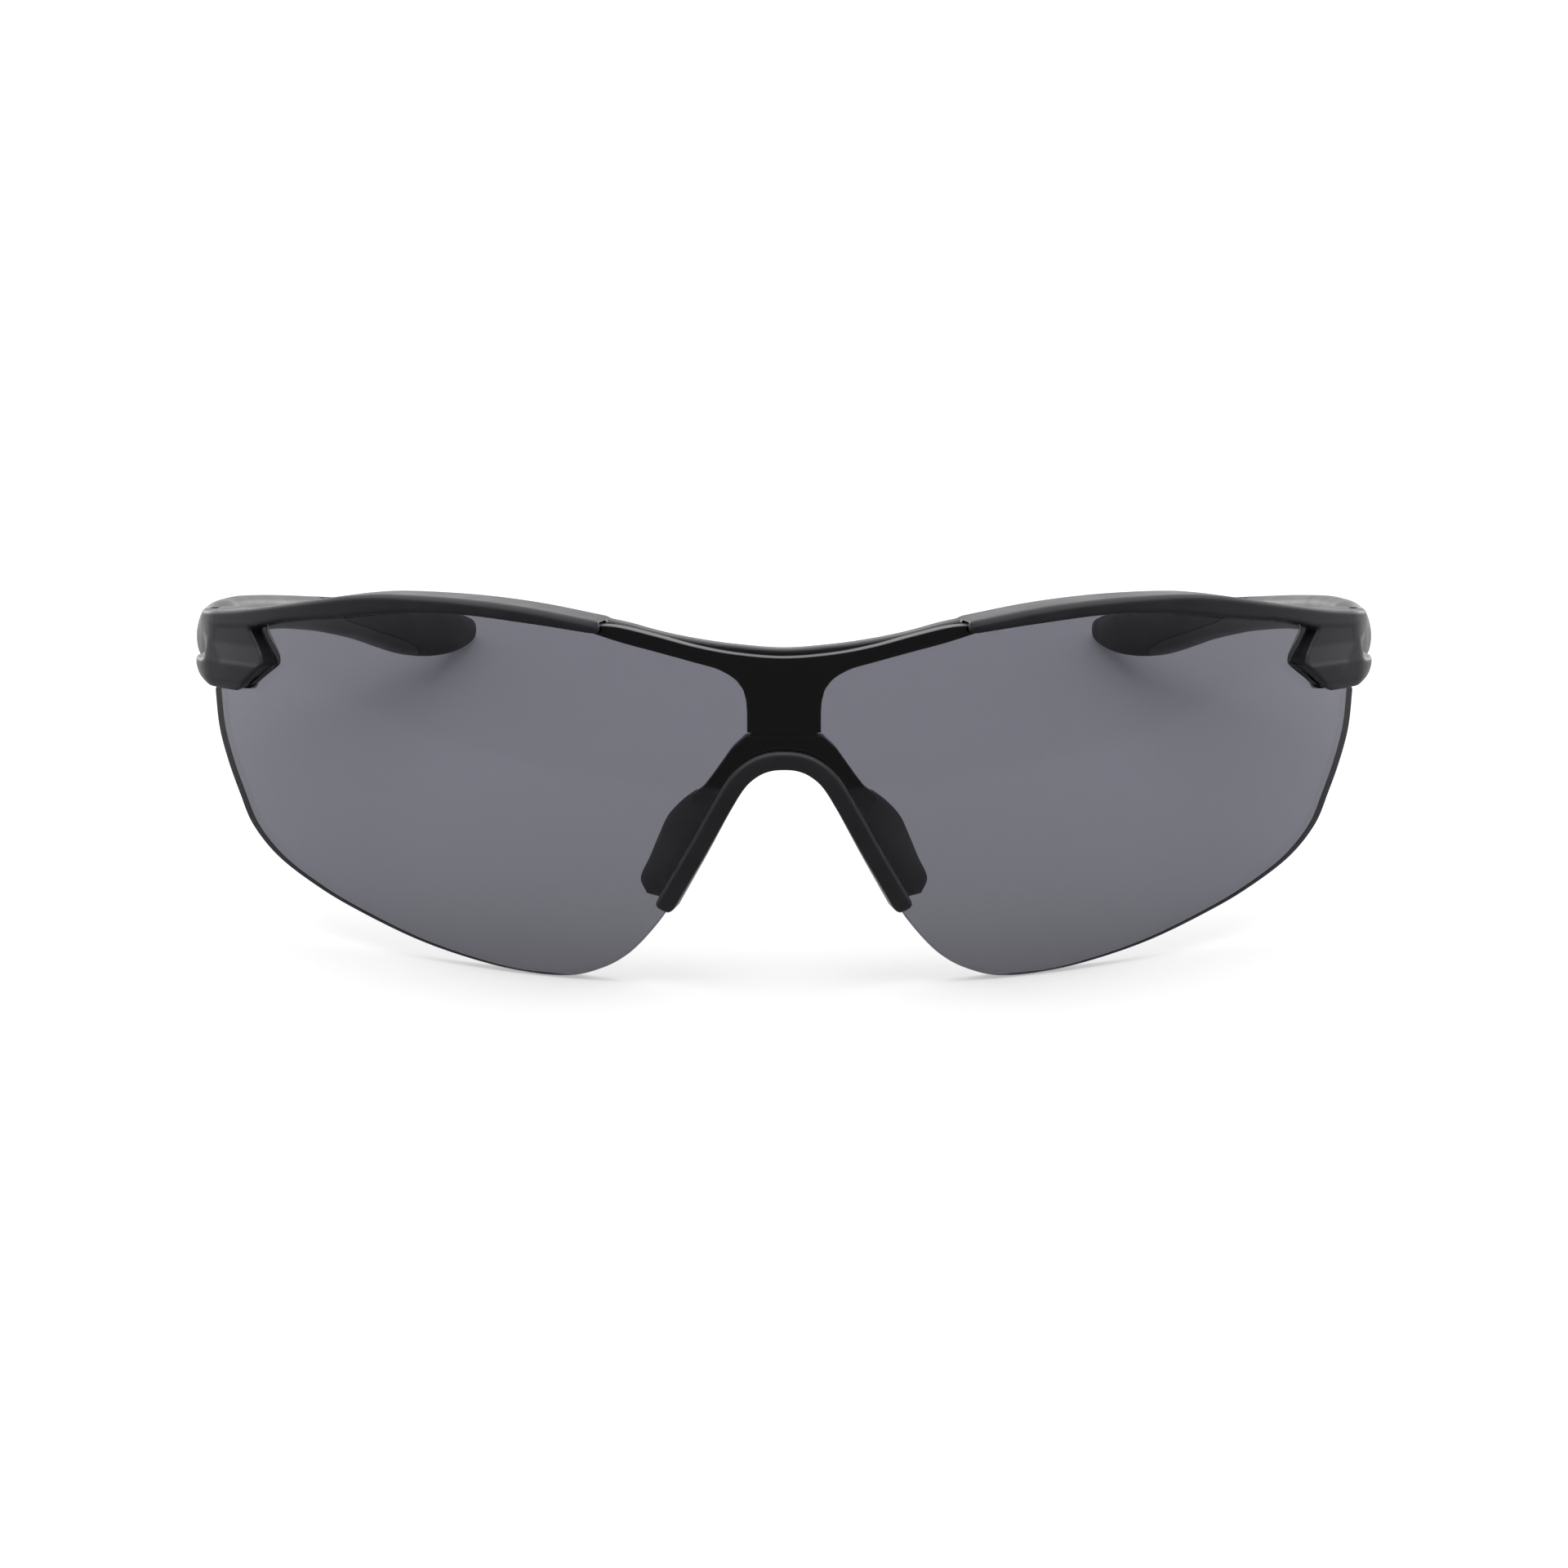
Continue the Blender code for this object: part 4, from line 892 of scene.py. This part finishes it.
def make_rod(name, side, start, end, radius, count=24, dome=True):
    """A round wire, or the hole for one, along the temple's core."""
    steps = max(2, round((end - start) / 1.5))
    places = [(start + (end - start) * k / steps, radius) for k in range(steps + 1)]
    if dome:
        places = [(start, radius * 0.4), (start + radius * 0.3, radius * 0.8)] + places[1:-1]
        places += [(end - radius * 0.3, radius * 0.8), (end, radius * 0.4)]
    rings = []
    for y, size in places:
        centre = core_line(y)
        ahead = (core_line(y + 0.5) - core_line(y - 0.5)).normalized()
        across = ahead.cross(Vector((0, 0, 1))).normalized()
        up = across.cross(ahead)
        ring = [centre + across * c + up * s for c, s in circle(0, 0, size, count)]
        rings.append([Vector((side * p.x, p.y, p.z)) for p in ring])
    return loft(name, rings)


def make_spigot(name, side, grow, start, end):
    """The tongue of the arm that the rubber tip is pushed over, or its pocket in the tip."""
    half = SPIGOT_THICKNESS / 2 + grow
    rise = SPIGOT_HEIGHT / 2 + grow
    rings = []
    for y in np.linspace(start, end, 24):
        middle = core_line(float(y))
        corners = [(-half, -rise), (half, -rise), (half, rise), (-half, rise)]
        section = rounded(corners, [SPIGOT_ROUND] * 4, 4)
        rings.append([Vector((side * (middle.x + p.x), y, middle.z + p.y)) for p in section])
    return loft(name, rings)


def seam_cutter(name, gap, far_y):
    """Everything on one side of the seam, seen from the side, as a thick plate across both temples."""
    seam = curve([(y + gap, z + gap) for y, z in SEAM], 1.0)
    outline = [Vector((far_y, 50)), Vector((seam[0].x, 50))] + seam
    outline += [Vector((seam[-1].x, -50)), Vector((far_y, -50))]
    return loft(name, [[Vector((x, p.x, p.y)) for p in outline] for x in (-100, 100)])


def make_temple_arm(side):
    rings = [temple_ring(y, side, thick, outer) for y, outer, thick in dense_rows(SKIN_STATIONS, 4)]
    for y in [42.62] + list(np.arange(43.0, SEAM[-1][0] + 6, 0.7)):
        rings.append(temple_ring(float(y), side))
    arm = loft("arm", rings)
    cut(arm, seam_cutter("behind_seam", 0.0, 250))
    cut(arm, hinge_lug("knuckle", side, *KNUCKLE, False),
        make_spigot("spigot", side, 0, SPIGOT_START_Y, SPIGOT_END_Y), operation="UNION")
    cut(arm, axis_pin("knuckle_hole", side, SCREW_HOLE_RADIUS, *KNUCKLE_HOLE),
        make_rod("wire_hole", side, WIRE_START_Y - CLEARANCE, SPIGOT_END_Y + 2, WIRE_RADIUS + WIRE_GAP,
                 16, False))
    return arm


def make_temple_tip(side):
    start, end = SEAM[0][0] - 4, TEMPLE_STATIONS[-1][0]
    places = list(np.arange(start, end - TIP_LAST_RINGS[0], 0.7)) + [end - step for step in TIP_LAST_RINGS]
    rings = [temple_ring(float(y), side) for y in places]
    last = temple_ring(end, side)
    middle = sum(last, Vector()) / len(last)
    for part, y in TIP_END:
        rings.append([middle + (p - middle) * part + Vector((0, y, 0)) for p in last])
    tip = loft("tip", rings)
    cut(tip, seam_cutter("ahead_of_seam", SEAM_GAP, -50))
    return cut(tip, make_spigot("tip_pocket", side, CLEARANCE, SPIGOT_START_Y - 2, SPIGOT_END_Y + CLEARANCE),
               make_rod("tip_wire_hole", side, SPIGOT_END_Y - 2, WIRE_END_Y + CLEARANCE,
                        WIRE_RADIUS + WIRE_GAP, 16, False))


# ------ hinge hardware

def make_hinge_screw(side):
    """Shank and head in one turned profile, with a slot in the head, which faces down."""
    low = BOTTOM_LUG[0] + 0.05
    shoulder = low + SCREW_HEAD_HEIGHT
    top = TOP_LUG[1] - INSERT_TOP_GAP - 0.35
    head, shank = SCREW_HEAD_RADIUS, SCREW_RADIUS
    profile = [(0.0, low), (head - 0.22, low), (head - 0.08, low + 0.06), (head, low + 0.2),
               (head, shoulder - 0.05), (head - 0.05, shoulder), (shank, shoulder)]
    pitch, z = 0.25, TOP_LUG[0] + 0.1
    while z < top - 0.3:
        profile += [(shank, z), (shank - 0.09, z + pitch * 0.3), (shank - 0.09, z + pitch * 0.5),
                    (shank, z + pitch * 0.8)]
        z += pitch
    profile += [(shank, top - 0.25), (shank - 0.25, top), (0.0, top)]
    screw = lathe("screw", side, profile)
    x = side * HINGE_X
    corner = (x - SLOT_LENGTH / 2, HINGE_Y - SLOT_WIDTH / 2, low - 1)
    opposite = (x + SLOT_LENGTH / 2, HINGE_Y + SLOT_WIDTH / 2, low + SLOT_DEPTH)
    return cut(screw, box("screw_slot", corner, opposite))


def ring_profile(inner, outer, low, high, edge):
    """A closed (radius, up) profile of a flat ring with chamfered edges."""
    return [(inner, low + edge), (inner + edge, low), (outer - edge, low), (outer, low + edge),
            (outer, high - edge), (outer - edge, high), (inner + edge, high), (inner, high - edge)]


def make_hinge_insert(side):
    """The threaded brass bush in the top lug that the screw bites into, with a groove round its outside."""
    low, top = TOP_LUG[0] + 0.1, TOP_LUG[1] - INSERT_TOP_GAP - 0.2
    inner, outer = SCREW_RADIUS + 0.08, INSERT_RADIUS
    profile = ring_profile(inner, outer, low, top, 0.06)
    middle = (low + top) / 2
    groove = [(outer, middle - 0.22), (outer - 0.1, middle - 0.12), (outer - 0.1, middle + 0.12),
              (outer, middle + 0.22)]
    return lathe("insert", side, profile[:4] + groove + profile[4:])


def make_washer(side, below, above):
    """A thin nylon ring that gives the hinge its friction."""
    low = (below + above - WASHER_THICKNESS) / 2
    profile = ring_profile(SCREW_HOLE_RADIUS, WASHER_RADIUS, low, low + WASHER_THICKNESS, 0.06)
    return lathe("washer", side, profile)


# ------ materials

class Nodes:
    """A short way to write a material's node tree."""

    def __init__(self, name):
        self.material = bpy.data.materials.new(name)
        self.material.use_nodes = True
        self.tree = self.material.node_tree
        self.shader = self.tree.nodes["Principled BSDF"]
        self.coords = self.tree.nodes.new("ShaderNodeTexCoord").outputs["Object"]

    def add(self, kind, value, socket, settings):
        """Adds a node with the value linked to one socket and others set."""
        node = self.tree.nodes.new(kind)
        for key, setting in settings.items():
            node.inputs[key].default_value = setting
        self.tree.links.new(value, node.inputs[socket])
        return node

    def noise(self, size_mm, detail=3.0, roughness=0.55):
        """A noise of blobs about this size."""
        settings = {"Scale": 1 / (size_mm * MM), "Detail": detail, "Roughness": roughness}
        return self.add("ShaderNodeTexNoise", self.coords, "Vector", settings).outputs["Fac"]

    def spread(self, value, low, high, start=0.35, end=0.65):
        """Maps a noise to a range of values."""
        settings = {"From Min": start, "From Max": end, "To Min": low, "To Max": high}
        return self.add("ShaderNodeMapRange", value, "Value", settings).outputs["Result"]

    def blend_colours(self, value, dark, light):
        node = self.tree.nodes.new("ShaderNodeMix")
        node.data_type = "RGBA"
        node.inputs["A"].default_value = (*dark, 1)
        node.inputs["B"].default_value = (*light, 1)
        self.tree.links.new(value, node.inputs["Factor"])
        return node.outputs["Result"]

    def bump(self, value, height_mm, strength):
        settings = {"Distance": height_mm * MM, "Strength": strength}
        return self.add("ShaderNodeBump", value, "Height", settings).outputs["Normal"]

    def put(self, socket, value):
        if isinstance(value, bpy.types.NodeSocket):
            self.tree.links.new(value, self.shader.inputs[socket])
        else:
            self.shader.inputs[socket].default_value = value


def moulded_nylon(name, dark, light, roughness):
    """Satin moulded nylon: a fine spark-eroded grain, with faint flow marks in its gloss and colour."""
    n = Nodes(name)
    flow = n.noise(6.0, 4.0)
    grain = n.noise(0.16, 2.0)
    n.put("Base Color", n.blend_colours(n.spread(flow, 0.0, 1.0), dark, light))
    n.put("Roughness", n.spread(flow, roughness - 0.04, roughness + 0.05))
    n.put("Normal", n.bump(grain, 0.006, 0.6))
    n.put("IOR", 1.5)
    return n.material


def soft_rubber(name):
    """Matte rubber with a soft-touch skin and a trace of dust in its pores."""
    n = Nodes(name)
    patches = n.noise(4.0, 3.0)
    pores = n.noise(0.22, 2.0)
    dark, light = (0.009, 0.009, 0.009), (0.014, 0.014, 0.0145)
    n.put("Base Color", n.blend_colours(n.spread(patches, 0.0, 1.0), dark, light))
    n.put("Roughness", n.spread(patches, 0.62, 0.74))
    n.put("Normal", n.bump(pores, 0.01, 0.7))
    n.put("IOR", 1.48)
    return n.material


def smoke_lens(name):
    """Smoke polycarbonate: clear, tinted and polished, and darker towards its bottom, where painted shadow
    stands in for the shadow on the floor seen through the lens.
    """
    n = Nodes(name)
    # Painted shadow: the colour darkens towards the lens's bottom.
    lower = n.tree.nodes.new("ShaderNodeVectorMath")
    lower.operation = "DOT_PRODUCT"
    lower.inputs[1].default_value = PAINTED_SHADOW_AXIS
    n.tree.links.new(n.coords, lower.inputs[0])
    height = n.spread(lower.outputs["Value"], 0.0, 1.0, *PAINTED_SHADOW_RANGE)
    tint_with_painted_shadow = n.blend_colours(height, LENS_TINT_WITH_PAINTED_SHADOW, LENS_TINT)
    haze = n.noise(9.0, 2.0)
    n.put("Base Color", tint_with_painted_shadow)
    n.put("Roughness", n.spread(haze, 0.0, 0.012))
    n.put("Transmission Weight", 1.0)
    n.put("IOR", 1.586)
    return n.material


def lens_rim():
    """The cut edge of the lens: dense and satin, because light leaves it only after a long way in."""
    n = Nodes("smoke polycarbonate rim")
    marks = n.noise(0.5, 3.0)
    dark, light = (0.075, 0.075, 0.084), (0.1, 0.1, 0.112)
    n.put("Base Color", n.blend_colours(n.spread(marks, 0.0, 1.0), dark, light))
    n.put("Roughness", n.spread(marks, 0.42, 0.52))
    n.put("Specular IOR Level", 0.25)
    return n.material


def turned_metal(name, dark, light, roughness):
    """Small turned metal: fine machining marks in its colour, gloss and surface."""
    n = Nodes(name)
    marks = n.noise(0.3, 2.0)
    n.put("Base Color", n.blend_colours(n.spread(marks, 0.0, 1.0), dark, light))
    n.put("Roughness", n.spread(marks, roughness - 0.06, roughness + 0.08))
    n.put("Normal", n.bump(n.noise(0.08, 2.0), 0.002, 0.5))
    n.put("Metallic", 1.0)
    return n.material


# Each finish is a material and its slot. The colours are a dark and a light one, and then the roughness.
finishes = {
    "charcoal": (moulded_nylon("charcoal nylon", (0.011, 0.0105, 0.015), (0.015, 0.0145, 0.0205), 0.42),
                 "charcoal_nylon"),
    "black": (moulded_nylon("black nylon", (0.013, 0.013, 0.016), (0.017, 0.017, 0.021), 0.45),
              "black_nylon"),
    "rubber": (soft_rubber("black rubber"), "black_rubber"),
    "lens": (smoke_lens("smoke polycarbonate"), "smoke_lens"),
    "steel": (turned_metal("screw steel", (0.42, 0.43, 0.45), (0.58, 0.59, 0.61), 0.3), "screw_steel"),
    "brass": (turned_metal("insert brass", (0.62, 0.43, 0.17), (0.76, 0.56, 0.25), 0.33), "insert_brass"),
    "nylon": (moulded_nylon("natural nylon", (0.7, 0.69, 0.64), (0.78, 0.77, 0.73), 0.5), "natural_nylon"),
}


# ------ pieces

def build_pieces():
    lens = place(make_lens(), "lens_shield", "front", finishes["lens"], sharp=8)
    frost_rim(lens, lens_rim())
    place(make_front_frame(), "front_frame", "front", finishes["charcoal"], sharp=0)
    place(make_nose_bridge(), "nose_bridge", "front", finishes["black"], sharp=0)
    for side, label in ((1, "left"), (-1, "right")):
        temple = f"{label}_temple"
        place(make_nose_pad(side), f"{label}_nose_pad", "front", finishes["rubber"])
        place(make_temple_arm(side), f"{label}_temple_arm", temple, finishes["charcoal"])
        place(make_temple_tip(side), f"{label}_temple_tip", temple, finishes["rubber"])
        wire = make_rod("wire", side, WIRE_START_Y, WIRE_END_Y, WIRE_RADIUS)
        place(wire, f"{label}_temple_core_wire", temple, finishes["steel"])
        place(make_hinge_screw(side), f"{label}_hinge_screw", "front", finishes["steel"])
        place(make_hinge_insert(side), f"{label}_hinge_insert", "front", finishes["brass"])
        place(make_washer(side, BOTTOM_LUG[1], KNUCKLE[0]), f"{label}_hinge_washer_lower", "front",
              finishes["nylon"])
        place(make_washer(side, KNUCKLE[1], TOP_LUG[0]), f"{label}_hinge_washer_upper", "front",
              finishes["nylon"])


# ------ floor, light and camera

def make_floor():
    """A pale floor that gives off a little light, as a lit studio sweep does, which softens the shadows."""
    mesh = bpy.data.meshes.new("floor")
    corners = [(x * FLOOR_REACH, y * FLOOR_REACH, 0) for x, y in ((-1, -1), (1, -1), (1, 1), (-1, 1))]
    mesh.from_pydata(corners, [], [(0, 1, 2, 3)])
    floor = add_object("floor", mesh)
    floor.location.z = -FLOOR_DROP
    n = Nodes("pale floor")
    n.put("Base Color", (FLOOR_GREY, FLOOR_GREY, FLOOR_GREY, 1))
    n.put("Emission Color", (1, 1, 1, 1))
    n.put("Emission Strength", FLOOR_GLOW)
    n.put("Roughness", 0.9)
    n.put("Specular IOR Level", 0.0)
    mesh.materials.append(n.material)
    floor.visible_glossy = False


def soft_box(name, place_at, aim, size, power):
    """A rectangular light that faces its target."""
    data = bpy.data.lights.new(name, "AREA")
    data.shape = "RECTANGLE"
    data.size, data.size_y = size
    data.energy = power
    light = add_object(name, data)
    light.location = place_at
    light.rotation_euler = (Vector(aim) - Vector(place_at)).to_track_quat("-Z", "Y").to_euler()


def make_lights():
    """A large soft box overhead, two low ones behind, and a surround that is bright up behind."""
    world = bpy.data.worlds.new("studio")
    bpy.context.scene.world = world
    world.use_nodes = True
    tree = world.node_tree
    background = tree.nodes["Background"]
    coords = tree.nodes.new("ShaderNodeTexCoord")
    towards = tree.nodes.new("ShaderNodeVectorMath")
    towards.operation = "DOT_PRODUCT"
    towards.inputs[1].default_value = SURROUND_AXIS
    tree.links.new(coords.outputs["Generated"], towards.inputs[0])
    ramp = tree.nodes.new("ShaderNodeMapRange")
    ramp.interpolation_type = "SMOOTHSTEP"
    ramp.inputs["From Min"].default_value, ramp.inputs["From Max"].default_value = SURROUND_RANGE
    ramp.inputs["To Min"].default_value, ramp.inputs["To Max"].default_value = SURROUND_STRENGTH
    tree.links.new(towards.outputs["Value"], ramp.inputs["Value"])
    tree.links.new(ramp.outputs["Result"], background.inputs["Strength"])
    background.inputs["Color"].default_value = (1, 1, 1, 1)
    soft_box("top_box", *TOP_BOX)
    (across, back, up), *rest = BACK_BOX
    for side in (1, -1):
        soft_box("back_box", (side * across, back, up), *rest)


def make_camera():
    """From the front, aimed at the middle of the lens from eight degrees above the wearer's level."""
    target = TO_WORLD @ Vector((0, 0, 0))
    turn = TO_WORLD.to_3x3().normalized()
    ahead = turn @ Vector((0, math.cos(CAMERA_RISE), -math.sin(CAMERA_RISE)))
    up = turn @ Vector((0, math.sin(CAMERA_RISE), math.cos(CAMERA_RISE)))
    across = ahead.cross(up)
    data = bpy.data.cameras.new("camera")
    data.lens = CAMERA_LENS
    data.sensor_width = CAMERA_SENSOR
    camera = add_object("camera", data)
    turn = Matrix((across, up, -ahead)).transposed().to_4x4()
    camera.matrix_world = Matrix.Translation(target - ahead * CAMERA_DISTANCE) @ turn
    bpy.context.scene.camera = camera


build_pieces()
make_floor()
make_lights()
make_camera()
bpy.context.scene.view_settings.view_transform = "Standard"
